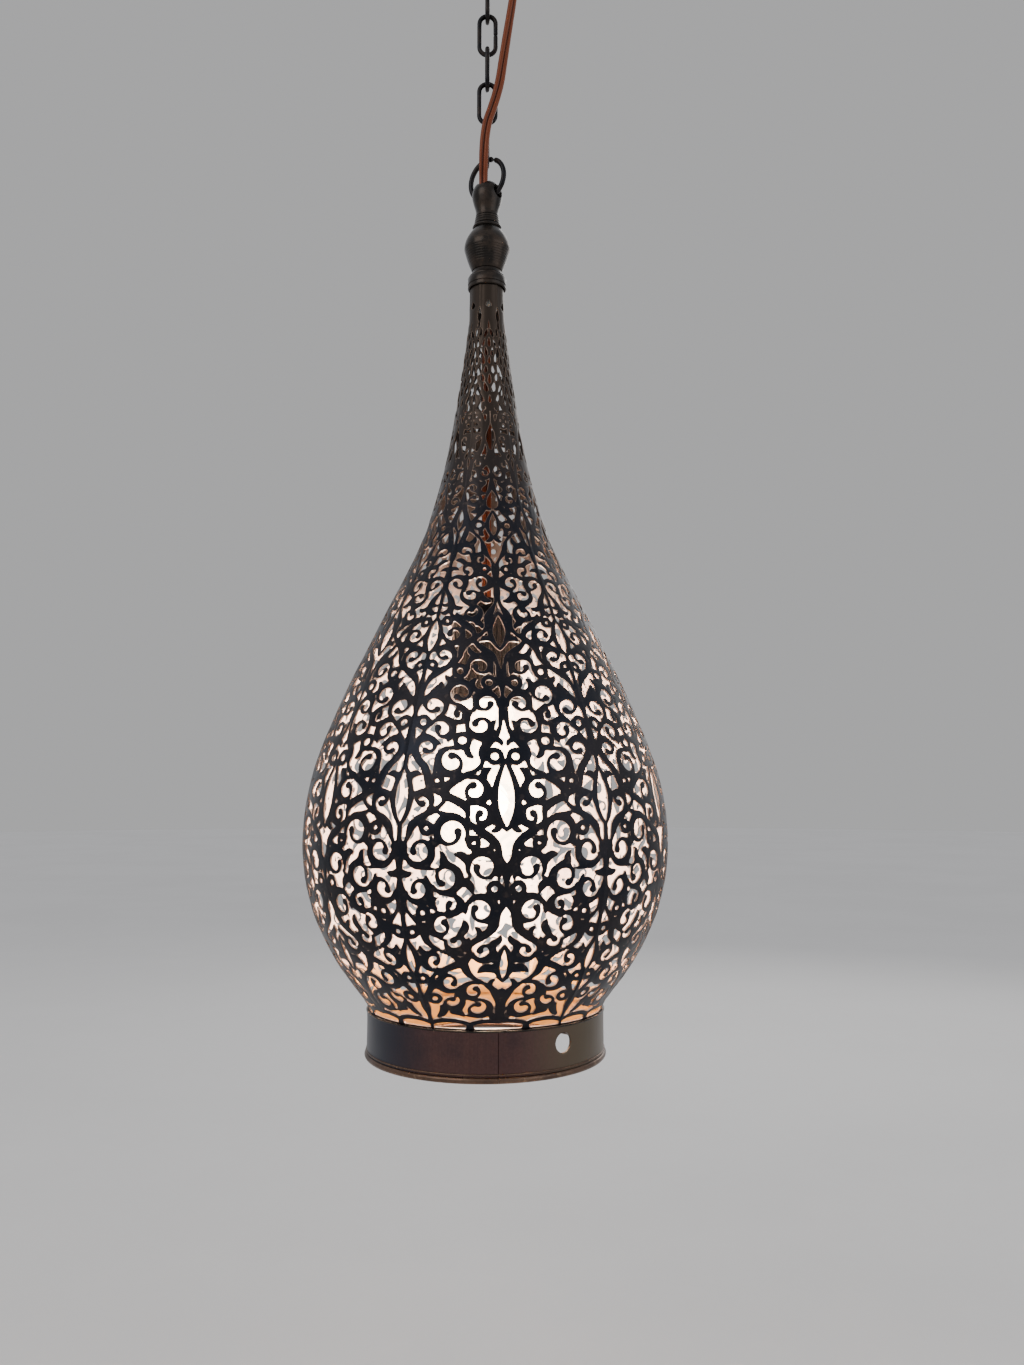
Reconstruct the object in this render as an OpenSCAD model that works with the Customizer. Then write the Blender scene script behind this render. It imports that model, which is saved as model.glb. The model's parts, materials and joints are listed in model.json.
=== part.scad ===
// Hanging pierced brass lantern with its ceiling cup, chain, flex and lamp.
// Millimetres, +Z up. The origin is on the ceiling plane, over the middle of the chain.

/* [Ceiling fitting] */
// Diameter of the ceiling cup at its rim
canopy_d = 96; // [90:1:110]
// Depth of the ceiling cup
canopy_h = 26; // [24:1:32]
// Distance between the two ceiling screws
screw_spacing = 60; // [58:1:64]
// Width of the slots for the ceiling screws
slot_w = 4.5; // [4:0.1:5]
// End to end length of those slots
slot_len = 10; // [8:0.5:11]
// Outside diameter of the eye that the chain hangs on
eye_d = 18; // [17:0.5:20]
// Wire thickness of the eye
eye_wire = 3; // [2.8:0.1:3.2]

/* [Chain] */
// Outside length of a chain link
link_len = 24.1; // [23:0.1:26]
// Outside length of the last link
last_link_len = 28.6; // [27:0.1:30]
// Outside width of a chain link
link_w = 11; // [10.5:0.1:11.5]
// Wire thickness of a chain link
link_wire = 2.4; // [2.2:0.1:2.6]
// Loose gap between wires that hang on each other
play = 0.3; // [0.2:0.05:0.4]

/* [Hanging ring] */
// Outside diameter of the ring
ring_d = 24; // [23.5:0.1:24.5]
// Wire thickness of the ring
ring_wire = 2.8; // [2.6:0.1:2.9]
// Turn of the ring's plane about the vertical
ring_turn = -35; // [-40:1:-30]

/* [Finial] */
// Diameter of the eye post
post_d = 15.7; // [15.5:0.1:16.5]
// Diameter of the cross hole that the ring goes through
cross_hole_d = 7; // [6.8:0.1:7.2]
// Diameter of the turned ball
ball_d = 23.7; // [22:0.1:26]
// Diameter of the collar over the neck
collar_d = 20; // [19.6:0.1:22]

/* [Lantern body] */
// Largest diameter of the pierced body
body_d = 179.6; // [170:0.2:190]
// Thickness of the brass sheet
wall = 0.8; // [0.6:0.1:1]
// Turn of the first soldered seam about the vertical
first_seam = -113; // [-120:1:-100]

/* [Foot band] */
// Outside diameter of the band
band_d = 115.6; // [115.4:0.1:116]
// Height of the band
band_h = 20; // [18:1:24]
// Thickness of the rolled edge
roll_d = 3; // [2.8:0.1:3.4]
// Diameter of the cable hole in the band
cable_hole_d = 9; // [8:0.5:10]
// Turn of the cable hole about the vertical
cable_hole_turn = -51; // [-60:1:-40]

/* [Lamp] */
// Diameter of the lampholder
holder_d = 35; // [34:0.5:38]
// Diameter of the bulb
bulb_d = 60; // [55:1:60]
// Drop from the cord grip to the lampholder
flex_drop = 151; // [140:1:155]

/* [Flex] */
// Width of the flat two-core flex
flex_w = 5; // [4.8:0.1:5.2]
// Thickness of the flex
flex_t = 2.6; // [2.5:0.1:2.7]

/* [Hidden] */

$fn = 64;
cut = 1;                        // how far a cut runs past the face it opens
steps = 3;                      // straight steps between two points of a curved outline
gores = 6;
gore_angle = 360 / gores;

bronze = [0.17, 0.13, 0.11];
dark_bronze = [0.10, 0.08, 0.07];
band_bronze = [0.33, 0.20, 0.15];
copper = [0.62, 0.27, 0.10];
steel = [0.62, 0.62, 0.64];

// Ceiling fitting, downwards from the ceiling
ceiling_gap = 0.2;
sheet = 0.8;
strap_t = 2;
strap_w = 18;
strap_len = 84;
strap_step = 17;                // half length of the lowered middle
strap_drop = 10;
block_at = [9, -21.5, -15.5];
block_size = [20, 12, 11];
screw_at = block_at + [block_size[0] / 2, block_size[1] / 2, 6];
shank_d = 6;
nut_h = 4;
nut_d = 11;
cup_nut_h = 3.5;
cup_nut_d = 14;
grip_at = [19, -14];
grip_d = 8;
grip_flange_d = 11;
grip_end = canopy_h + 6;
eye_pivot = -(canopy_h + cup_nut_h + eye_d - eye_wire / 2);

// Chain: every link hangs from the one above
links = 7;
pitch = link_len - 2 * link_wire - play;
first_top = eye_pivot + eye_wire / 2 + play + link_wire;
last_bottom = first_top - (links - 1) * pitch - last_link_len;

// Ring and the cross hole that it carries the lantern by
ring_r = (ring_d - ring_wire) / 2;
ring_z = last_bottom + link_wire + play + ring_wire - ring_d / 2;
ring_opening = 9;               // open part of the ring, in degrees
ring_opening_at = 62;
pivot = ring_z - 8.2;

// Finial, downwards from the cross hole
post_top = pivot + 7;
post_foot = pivot - 17;
ball_foot = pivot - 42;
collar_foot = pivot - 52;
neck_top = pivot - 46;

// Threaded tube through the finial and what is on it
tube_d = 8;
tube_bore = 6.4;
tube_top = pivot - 13;
tube_foot = pivot - 59;
plate_z = neck_top - 1;
plate_t = 1.5;
washer_t = 0.8;
plate_nut_d = 12.6;
grip_len = 9;
grip_foot = pivot - 63;

// Pierced body: drop below the neck's top and radius, from the neck to the foot
body_r = body_d / 2;
body_h = 370;
body_outline = [
    [0, 8.6], [24, 9.2], [60, 14], [100, 21], [140, 32.8], [180, 52.2], [220, 71.4],
    [258, body_r - 4], [291, body_r], [320, body_r - 4.6], [345, 73.8], [364, 60.2],
    [body_h, 57], [body_h + 4, band_d / 2 - 1]
];
body_foot = neck_top - body_h;

// Foot band and its rolled edge
band_r = band_d / 2;
band_z = body_foot - band_h;
roll_z = band_z - roll_d / 2;
roll_wall = 0.5;
cable_hole_z = body_foot - 8;

// Lampholder, hanging on the inner flex
flex_gap = 0.8;
holder_top = grip_foot - flex_drop;
holder_skirt = holder_top - 12;
holder_foot = holder_top - 52;
insert_foot = holder_skirt - 10.5;
insert_h = 10;
flutes = 24;
flute_d = 2.4;
flute_end = 3;                  // plain part at each end of the flutes
thread_r = 14.4;

// Bulb: standard screw cap, its contact against the holder's spring
bulb_r = bulb_d / 2;
bulb_h = 107;
contact_z = holder_top - 24.5;
cap_foot = contact_z - 25;
cap_r = 13.2;
thread_pitch = 3.6;
thread_turns = 5;
thread_depth = 0.8;
bulb_foot = contact_z - bulb_h;
filament_z = contact_z - 78;
filament_w = 24;

// Route of the free flex: x, y, z and the turn of its flat side about the vertical
flex_route = [
    [19, -14, -32, 90], [19, -14, -40, 90], [18.6, -13.6, -50, 85], [18, -13, -60, 80],
    [17, -12, -70, 70], [16, -11, -80, 60], [14.5, -10, -90, 55], [13, -9, -100, 50],
    [11.4, -8.2, -110, 45], [9.8, -7.6, -120, 35], [8.3, -7.2, -130, 25], [6.8, -7, -140, 15],
    [5, -7.1, -148, 5], [2.6, -7.2, -156, 0], [0.3, -7.2, -163, 0], [-1, -7.2, -171, -5],
    [-1.6, -7, -179, -15], [-1.8, -5.4, -186, -25], [-1.9, -3.6, -192, -35],
    [-1.9, -2.7, -199, -35], [-1.5, -2.1, -205, -35], [-0.7, -1, -211, -35], [0, 0, -217, -35]
];
upper_to = 6;
middle_to = 10;
lower_to = 16;
entry_to = len(flex_route) - 1;
flex_sides = 10;
tube_flex_top = flex_route[entry_to][2];

// ---- curves ----

// Point between b and c on the smooth curve through a, b, c and d
function between(a, b, c, d, t) = 0.5 * (2 * b + (c - a) * t + (2 * a - 5 * b + 4 * c - d) * t ^ 2
    + (3 * b - a - 3 * c + d) * t ^ 3);

// Smooth curve through the points p, with n steps between two of them
function curve(p, n) = concat([for (i = [0:len(p) - 2], k = [0:n - 1])
    between(p[max(i - 1, 0)], p[i], p[i + 1], p[min(i + 2, len(p) - 1)], k / n)],
    [p[len(p) - 1]]);

function unit(v) = v / norm(v);

// The outline q moved sideways by d, to its left
function beside(q, d) = [for (i = [0:len(q) - 1])
    let (v = unit(q[min(i + 1, len(q) - 1)] - q[max(i - 1, 0)])) q[i] + d * [-v[1], v[0]]];

function reversed(q) = [for (i = [len(q) - 1:-1:0]) q[i]];

// Drops and radii as radii and heights, hung from z
function hung(q, z) = [for (p = q) [p[1], z - p[0]]];

// Corner i of the flex's flat section: round edges on a flat strip
function flex_corner(i) = let (a = 360 * (i + 0.5) / flex_sides, r = flex_t / 2)
    [(flex_w / 2 - r) * sign(cos(a)) * (abs(cos(a)) > 0.1 ? 1 : 0) + r * cos(a), r * sin(a)];

// Ring of the swept flex at point i of the route, square to the route
function flex_ring(i) =
    let (p = flex_route[i],
         a = flex_route[max(i - 1, 0)], b = flex_route[min(i + 1, entry_to)],
         d = i == 0 || i == entry_to ? [0, 0, -1] : unit([b[0] - a[0], b[1] - a[1], b[2] - a[2]]),
         w = [cos(p[3]), sin(p[3]), 0],
         side = unit(w - (w * d) * d),
         flat = cross(d, side))
    [for (k = [0:flex_sides - 1]) let (c = flex_corner(k))
        [p[0], p[1], p[2]] + c[0] * side + c[1] * flat];

// ---- shared shapes ----

module turned(outline) {
    rotate_extrude() polygon(outline);
}

module hex_nut(flats, bore, h) {
    difference() {
        cylinder(h = h, d = flats / cos(30), $fn = 6);
        translate([0, 0, -cut]) cylinder(h = h + 2 * cut, d = bore);
    }
}

module pipe(outer, bore, h) {
    difference() {
        cylinder(h = h, d = outer);
        translate([0, 0, -cut]) cylinder(h = h + 2 * cut, d = bore);
    }
}

// Upright oval link in the XZ plane, its top at z = 0, with the open joint of its wire
module wire_link(length, width, wire) {
    r = (width - wire) / 2;
    straight = length - width;
    joint_gap = 0.25;
    difference() {
        union() {
            for (side = [0, 1]) {
                translate([0, 0, -width / 2 - side * straight]) rotate([90, side * 180, 0])
                    rotate_extrude(angle = 180) translate([r, 0]) circle(d = wire);
                translate([(2 * side - 1) * r, 0, -width / 2 - straight]) cylinder(h = straight, d = wire);
            }
        }
        translate([r - wire, -wire, -length / 2]) cube([2 * wire, 2 * wire, joint_gap]);
    }
}

module flex_piece(from, to) {
    rings = to - from + 1;
    n = flex_sides;
    color(copper) polyhedron(
        points = [for (i = [from:to]) each flex_ring(i)],
        faces = concat([[for (k = [0:n - 1]) k]], [[for (k = [n - 1:-1:0]) (rings - 1) * n + k]],
            [for (i = [0:rings - 2], k = [0:n - 1])
                [i * n + k, (i + 1) * n + k, (i + 1) * n + (k + 1) % n, i * n + (k + 1) % n]]));
}

// Straight upright flex from z down by h
module straight_flex(z, h) {
    core = flex_w - flex_t;
    translate([0, 0, z - h]) union() {
        for (side = [-1, 1]) translate([side * core / 2, 0, 0]) cylinder(h = h, d = flex_t);
        translate([-core / 2, -flex_t / 4, 0]) cube([core, flex_t / 2, h]);
    }
}

// ---- ceiling fitting ----

module slot(x) {
    run = slot_len - slot_w;
    translate([x, 0, -strap_t - cut]) union() {
        for (side = [-1, 1]) translate([side * run / 2, 0, 0]) cylinder(h = strap_t + 2 * cut, d = slot_w);
        translate([-run / 2, -slot_w / 2, 0]) cube([run, slot_w, strap_t + 2 * cut]);
    }
}

module mounting_strap() {
    half = strap_len / 2;
    color(steel) difference() {
        translate([0, strap_w / 2, 0]) rotate([90, 0, 0]) linear_extrude(strap_w) polygon([
            [-half, 0], [-strap_step, 0], [-strap_step, -strap_drop], [strap_step, -strap_drop],
            [strap_step, 0], [half, 0], [half, -strap_t], [strap_step + strap_t, -strap_t],
            [strap_step + strap_t, -strap_drop - strap_t], [-strap_step - strap_t, -strap_drop - strap_t],
            [-strap_step - strap_t, -strap_t], [-half, -strap_t]]);
        for (side = [-1, 1]) slot(side * screw_spacing / 2);
        translate([0, 0, -strap_drop - strap_t - cut]) cylinder(h = strap_t + 2 * cut, d = shank_d);
    }
}

module eye_bolt() {
    shank_top = -strap_drop + nut_h + cut;
    shank_foot = eye_pivot + eye_d - eye_wire;
    color(bronze) union() {
        translate([0, 0, shank_foot]) cylinder(h = shank_top - shank_foot, d = shank_d);
        translate([0, 0, eye_pivot + (eye_d - eye_wire) / 2]) rotate([90, 0, 0])
            rotate_extrude() translate([(eye_d - eye_wire) / 2, 0]) circle(d = eye_wire);
    }
}

module strap_nuts() {
    color(steel) union() {
        translate([0, 0, -strap_drop]) hex_nut(nut_d, shank_d, nut_h);
        translate([0, 0, -strap_drop - strap_t - nut_h]) hex_nut(nut_d, shank_d, nut_h);
    }
}

module canopy() {
    r = canopy_d / 2;
    rim = [[0, r], [3, r], [10, r - 1.5], [17, r - 6.5], [22, r - 14], [canopy_h, r - 24]];
    outer = curve(hung(rim, -ceiling_gap), steps);
    inner = beside(outer, -sheet);
    foot = outer[len(outer) - 1];
    color(bronze) difference() {
        turned(concat(outer, [[0, foot[1]], [0, foot[1] + sheet]], reversed(inner)));
        translate([0, 0, -canopy_h - cut]) cylinder(h = 3 * cut, d = shank_d + 0.2);
        translate([grip_at[0], grip_at[1], -canopy_h - cut]) cylinder(h = 3 * cut, d = grip_d + 0.2);
    }
}

module cup_nut() {
    color(bronze) translate([0, 0, -canopy_h - cup_nut_h - ceiling_gap]) difference() {
        turned([[0, 0], [4.6, 0], [cup_nut_d / 2, 1.4], [cup_nut_d / 2, cup_nut_h], [0, cup_nut_h]]);
        translate([0, 0, -cut]) cylinder(h = cup_nut_h + 2 * cut, d = shank_d);
    }
}

module canopy_grip() {
    color(dark_bronze) translate([grip_at[0], grip_at[1], -grip_end]) difference() {
        turned([[0, 0], [3.7, 0], [grip_d / 2, 1], [grip_flange_d / 2, 4.3], [grip_flange_d / 2, 5.8],
            [grip_d / 2, 5.8], [grip_d / 2, 10.5], [0, 10.5]]);
        translate([0, 0, -cut]) cylinder(h = 14, d = tube_bore);
    }
}

module terminal_block() {
    color("ivory") difference() {
        translate(block_at) cube(block_size);
        for (side = [-1, 1]) translate(screw_at + [side * 5, 0, 0]) cylinder(h = 6, d = 4.2);
    }
}

module terminal_screws() {
    color("gold") for (side = [-1, 1]) translate(screw_at + [side * 5, 0, 0]) difference() {
        cylinder(h = 4, d = 4);
        translate([-2.5, -0.4, 3]) cube([5, 0.8, 2]);
    }
}

module canopy_flex() {
    color(copper) translate([grip_at[0], grip_at[1], 0]) rotate([0, 0, 90])
        straight_flex(block_at[2], grip_end + block_at[2]);
}

// ---- chain and ring ----

module chain_link(n) {
    color(dark_bronze) translate([0, 0, first_top - (n - 1) * pitch]) rotate([0, 0, n % 2 == 1 ? 90 : 0])
        wire_link(n == links ? last_link_len : link_len, link_w, link_wire);
}

module hanging_ring() {
    color(dark_bronze) translate([0, 0, ring_z]) rotate([0, 0, ring_turn]) rotate([90, 0, 0])
        rotate([0, 0, ring_opening_at + ring_opening]) rotate_extrude(angle = 360 - ring_opening)
            translate([ring_r, 0]) circle(d = ring_wire);
}

// ---- finial ----

module finial_post() {
    r = post_d / 2;
    outer = concat(
        [for (a = [90:-10:0]) [r * cos(a), post_top - r + r * sin(a)]],
        curve([[r, post_top - r - 1.5], [r - 0.2, pivot - 4], [6.6, pivot - 8.5], [6, pivot - 13],
            [6.2, post_foot]], steps));
    cavity = [[0, pivot + 4.6], [3.5, pivot + 4], [6.1, pivot + 1.5], [6.2, pivot - 4.5],
        [5, pivot - 8], [3.3, pivot - 12.6], [3.3, tube_top], [tube_d / 2, tube_top],
        [tube_d / 2, post_foot - cut], [0, post_foot - cut]];
    color(bronze) difference() {
        turned(concat(outer, [[0, post_foot]]));
        turned(cavity);
        translate([0, 0, pivot]) rotate([0, 90, ring_turn])
            cylinder(h = post_d + 2 * cut, d = cross_hole_d, center = true);
        translate([-1.9, -3.2, pivot]) cylinder(h = 9, d = tube_bore + 0.4);
    }
}

module finial_ball() {
    r = ball_d / 2;
    outline = curve([[6.2, post_foot], [7.2, post_foot - 2.4], [r - 1.6, post_foot - 7],
        [r, post_foot - 13], [r - 1.6, post_foot - 19], [8.6, post_foot - 23.4], [7.9, ball_foot]], steps);
    color(bronze) difference() {
        turned(concat([[0, post_foot]], outline, [[0, ball_foot]]));
        translate([0, 0, ball_foot - cut]) cylinder(h = post_foot - ball_foot + 2 * cut, d = tube_d);
    }
}

module neck_collar() {
    r = collar_d / 2;
    height = ball_foot - collar_foot;
    color(bronze) difference() {
        translate([0, 0, collar_foot]) turned([[0, 0], [r, 0], [r, height - 4], [r - 1, height - 2.6],
            [8, height - 1.4], [7.6, height], [0, height]]);
        translate([0, 0, collar_foot - cut])
            cylinder(h = height - 3 + cut, d = 2 * body_outline[1][1] + 0.2);
        translate([0, 0, collar_foot]) cylinder(h = height + cut, d = tube_d);
    }
}

module threaded_tube() {
    color("gold") translate([0, 0, tube_foot]) pipe(tube_d, tube_bore, tube_top - tube_foot);
}

module neck_plate() {
    color("gold") translate([0, 0, plate_z - plate_t])
        pipe(2 * (body_outline[0][1] - wall) - 0.1, tube_d + 0.2, plate_t);
}

module plate_washer() {
    color(steel) translate([0, 0, plate_z - plate_t - washer_t]) pipe(13.4, tube_d + 0.2, washer_t);
}

module plate_nut() {
    color(steel) translate([0, 0, plate_z - plate_t - washer_t - nut_h]) hex_nut(plate_nut_d, tube_d, nut_h);
}

module cord_grip() {
    color("white") translate([0, 0, grip_foot]) difference() {
        turned([[0, 0], [4.5, 0], [5.8, 1.5], [5.8, grip_len], [0, grip_len]]);
        translate([0, 0, tube_foot - grip_foot]) cylinder(h = grip_len, d = tube_d);
        translate([0, 0, -cut]) cylinder(h = grip_len, d = tube_bore);
    }
}

module tube_flex() {
    color(copper) rotate([0, 0, flex_route[entry_to][3]])
        straight_flex(tube_flex_top, tube_flex_top - grip_foot);
}

// ---- pierced body and foot ----

module shell_gore(n) {
    outer = curve(hung(body_outline, neck_top), steps);
    inner = beside(outer, -wall);
    color(bronze) rotate([0, 0, first_seam + (n - 1) * gore_angle])
        rotate_extrude(angle = gore_angle) polygon(concat(outer, reversed(inner)));
}

module foot_band() {
    color(band_bronze) difference() {
        translate([0, 0, band_z]) pipe(band_d, band_d - 2 * wall, band_h);
        rotate([0, 0, cable_hole_turn]) translate([band_r - 4, 0, cable_hole_z]) rotate([0, 90, 0])
            cylinder(h = 8, d = cable_hole_d);
    }
}

module rolled_edge() {
    color(band_bronze) translate([0, 0, roll_z]) rotate_extrude() translate([band_r - wall / 2, 0])
        difference() {
            circle(d = roll_d);
            circle(d = roll_d - 2 * roll_wall);
        }
}

module edge_wire() {
    color(steel) translate([0, 0, roll_z]) rotate_extrude() translate([band_r - wall / 2, 0])
        circle(d = roll_d - 2 * roll_wall - 0.1);
}

// ---- lampholder ----

module inner_flex() {
    color(copper) straight_flex(grip_foot - flex_gap, flex_drop - flex_gap);
}

module holder_cap() {
    r = holder_d / 2;
    outer = [[5.5, holder_top], [5.5, holder_top - 5], [9, holder_top - 6.5], [r - 3, holder_top - 9],
        [r, holder_skirt]];
    color(dark_bronze) difference() {
        turned(concat(outer, [[r - 2, holder_skirt], [r - 5, holder_top - 10.8], [3.6, holder_top - 8.6],
            [3.6, holder_top]]));
        translate([0, 0, holder_top - 2.5]) rotate([0, 90, 0]) cylinder(h = 8, d = 3);
    }
}

module holder_screw() {
    color(steel) translate([3.1, 0, holder_top - 2.5]) rotate([0, 90, 0]) difference() {
        cylinder(h = 3.4, d = 3);
        translate([-2, -0.3, 2.6]) cube([4, 0.6, 2]);
    }
}

module holder_body() {
    r = holder_d / 2;
    height = holder_skirt - holder_foot;
    color(dark_bronze) difference() {
        translate([0, 0, holder_foot]) pipe(holder_d, 2 * thread_r + 0.4, height);
        for (i = [0:flutes - 1]) rotate([0, 0, i * 360 / flutes])
            translate([r + 0.4, 0, holder_foot + flute_end])
                cylinder(h = height - 2 * flute_end, d = flute_d, $fn = 24);
    }
}

module holder_insert() {
    color("ivory") translate([0, 0, insert_foot]) difference() {
        cylinder(h = insert_h, r = thread_r);
        for (side = [-1, 1]) translate([side * 8, 0, -cut]) cylinder(h = insert_h + 2 * cut, d = 4);
    }
}

module holder_thread() {
    lip = 2;
    color("gold") translate([0, 0, holder_foot + lip])
        pipe(2 * thread_r, 2 * (cap_r + 0.5), insert_foot - holder_foot - lip);
}

module holder_contact() {
    color("gold") translate([0, 0, contact_z]) cylinder(h = insert_foot - contact_z, d = 7);
}

// ---- bulb ----

// Screw cap, its thread as level rings
module bulb_cap() {
    root = cap_r - thread_depth;
    top = contact_z - 2.2;
    rings = [for (i = [0:thread_turns - 1], k = [0:1])
        [cap_r - k * thread_depth, cap_foot + 2 + thread_pitch * (i + k / 2)]];
    color("silver") difference() {
        turned(concat([[0, cap_foot], [root, cap_foot]], rings, [[root, cap_foot + 20.4], [7, top], [0, top]]));
        translate([0, 0, cap_foot - cut]) cylinder(h = 20, r = cap_r - 1.4);
        translate([0, 0, cap_foot]) cylinder(h = 30, r = 6);
    }
}

module bulb_insulator() {
    color("black") translate([0, 0, contact_z - 4]) pipe(12, 5, 3.2);
}

module bulb_contact() {
    color(steel) union() {
        translate([0, 0, contact_z - 4]) cylinder(h = 3.5, d = 5);
        translate([0, 0, contact_z - 0.8]) cylinder(h = 0.8, d = 8.5);
    }
}

module bulb_glass() {
    glass = 0.7;
    middle = bulb_foot + bulb_r;
    neck_r = cap_r - 1.9;
    outer = concat(
        [for (a = [-90:10:20]) [bulb_r * cos(a), middle + bulb_r * sin(a)]],
        curve([[bulb_r * cos(30), middle + bulb_r * sin(30)], [21, middle + 25], [16, middle + 36],
            [13.6, middle + 46], [neck_r, cap_foot + 1], [neck_r, cap_foot + 9]], steps));
    inner = concat(
        [for (a = [-90:10:20]) [(bulb_r - glass) * cos(a), middle + (bulb_r - glass) * sin(a)]],
        curve([[bulb_r * cos(30) - glass, middle + bulb_r * sin(30) - 0.3], [21 - glass, middle + 25],
            [16 - glass, middle + 36], [13.6 - glass, middle + 46], [neck_r - glass, cap_foot + 1],
            [neck_r - glass, cap_foot + 9]], steps));
    color("lightyellow", 0.4) turned(concat(outer, reversed(inner)));
}

module bulb_stem() {
    color("lightyellow") union() {
        turned([[0, filament_z + 6], [2.5, filament_z + 7], [2.5, filament_z + 18],
            [3.5, cap_foot - 8], [10, cap_foot + 4], [10, cap_foot + 6], [0, cap_foot + 6]]);
        for (side = [-1, 1]) translate([side * (filament_w / 2 - 1), 0, filament_z + 1.2])
            rotate([0, -side * 50, 0]) cylinder(h = 13, d = 0.8);
    }
}

module bulb_filament() {
    color("orange") translate([0, 0, filament_z]) rotate([0, 90, 0])
        cylinder(h = filament_w, d = 1.6, center = true);
}

mounting_strap();
eye_bolt();
strap_nuts();
canopy();
cup_nut();
canopy_grip();
terminal_block();
terminal_screws();
canopy_flex();
chain_link(1);  // chain_link_1
chain_link(2);  // chain_link_2
chain_link(3);  // chain_link_3
chain_link(4);  // chain_link_4
chain_link(5);  // chain_link_5
chain_link(6);  // chain_link_6
chain_link(7);  // chain_link_7
hanging_ring();
flex_piece(0, upper_to);  // flex_upper
flex_piece(upper_to, middle_to);  // flex_middle
flex_piece(middle_to, lower_to);  // flex_lower
flex_piece(lower_to, entry_to);  // flex_entry
finial_post();
finial_ball();
neck_collar();
threaded_tube();
neck_plate();
plate_washer();
plate_nut();
cord_grip();
tube_flex();
shell_gore(1);  // shell_gore_1
shell_gore(2);  // shell_gore_2
shell_gore(3);  // shell_gore_3
shell_gore(4);  // shell_gore_4
shell_gore(5);  // shell_gore_5
shell_gore(6);  // shell_gore_6
foot_band();
rolled_edge();
edge_wire();
inner_flex();
holder_cap();
holder_body();
holder_insert();
holder_thread();
holder_contact();
holder_screw();
bulb_cap();
bulb_insulator();
bulb_contact();
bulb_glass();
bulb_stem();
bulb_filament();
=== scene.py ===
"""Hanging pierced brass lantern with its chain, flex, lamp and ceiling cup.

Lengths are written in millimetres and turned to metres where they meet the frame. +Z is up, and the
origin is on the ceiling plane over the middle of the chain.
"""

import functools
import json
import logging
import math
from dataclasses import dataclass, field
from enum import Enum
from typing import Callable, Sequence

import bpy
import numpy as np
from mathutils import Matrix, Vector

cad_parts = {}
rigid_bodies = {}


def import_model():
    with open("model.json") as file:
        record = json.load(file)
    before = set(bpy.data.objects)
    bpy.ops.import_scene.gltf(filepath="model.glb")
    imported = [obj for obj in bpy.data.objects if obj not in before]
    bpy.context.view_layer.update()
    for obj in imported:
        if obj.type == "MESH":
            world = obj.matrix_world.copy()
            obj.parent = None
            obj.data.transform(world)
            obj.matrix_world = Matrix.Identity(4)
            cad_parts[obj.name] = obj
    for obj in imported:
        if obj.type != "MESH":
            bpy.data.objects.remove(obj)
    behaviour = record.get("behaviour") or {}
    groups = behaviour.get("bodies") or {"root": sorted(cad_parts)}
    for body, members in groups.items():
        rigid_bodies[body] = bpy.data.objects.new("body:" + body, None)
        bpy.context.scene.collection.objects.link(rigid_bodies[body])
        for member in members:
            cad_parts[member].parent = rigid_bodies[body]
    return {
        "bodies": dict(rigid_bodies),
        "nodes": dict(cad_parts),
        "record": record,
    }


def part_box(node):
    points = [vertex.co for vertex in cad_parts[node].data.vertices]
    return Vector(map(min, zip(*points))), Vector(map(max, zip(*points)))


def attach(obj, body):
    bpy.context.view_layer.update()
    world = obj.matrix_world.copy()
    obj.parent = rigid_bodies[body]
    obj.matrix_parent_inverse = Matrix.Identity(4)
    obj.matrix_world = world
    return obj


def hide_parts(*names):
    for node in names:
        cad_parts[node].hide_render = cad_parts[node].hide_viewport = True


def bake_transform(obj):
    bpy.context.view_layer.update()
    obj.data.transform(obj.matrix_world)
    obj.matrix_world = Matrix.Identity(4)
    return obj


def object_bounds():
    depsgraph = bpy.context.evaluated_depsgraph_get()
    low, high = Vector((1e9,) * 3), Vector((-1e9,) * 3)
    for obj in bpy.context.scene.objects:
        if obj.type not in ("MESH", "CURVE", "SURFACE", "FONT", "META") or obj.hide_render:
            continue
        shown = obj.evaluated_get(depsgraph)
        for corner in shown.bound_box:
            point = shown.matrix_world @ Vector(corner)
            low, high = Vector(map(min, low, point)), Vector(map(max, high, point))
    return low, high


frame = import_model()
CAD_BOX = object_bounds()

LOG = logging.getLogger("lantern")
MM = 0.001
Array = np.ndarray

GORES = 6
HALF_GORE = math.pi / GORES
ALONG_X = (1.0, 0.0, 0.0)
ALONG_Y = (0.0, 1.0, 0.0)
UP = (0.0, 0.0, 1.0)

# Turns about the vertical, in degrees: of the front gore's middle and the band's seam, and of the
# hanging ring's plane.
FRONT_TURN = -83.0
RING_TURN = -35.0


class Body(str, Enum):
    """The moving bodies that pieces ride on."""

    CEILING = "ceiling"
    UPPER_CHAIN = "upper_chain"
    LOWER_CHAIN = "lower_chain"
    RING = "ring"
    LANTERN = "lantern"
    HOLDER = "lampholder"
    BULB = "bulb"


# ---------------------------------------------------------------- curves and surfaces


def middle(node: str) -> Array:
    """Centre of a CAD node's box, in millimetres."""
    low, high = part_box(node)
    return (np.array(low) + np.array(high)) / 2 / MM


def top_of(node: str) -> float:
    """Height of a CAD node's highest point, in millimetres."""
    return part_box(node)[1][2] / MM


def foot_of(node: str) -> float:
    """Height of a CAD node's lowest point, in millimetres."""
    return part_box(node)[0][2] / MM


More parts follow.
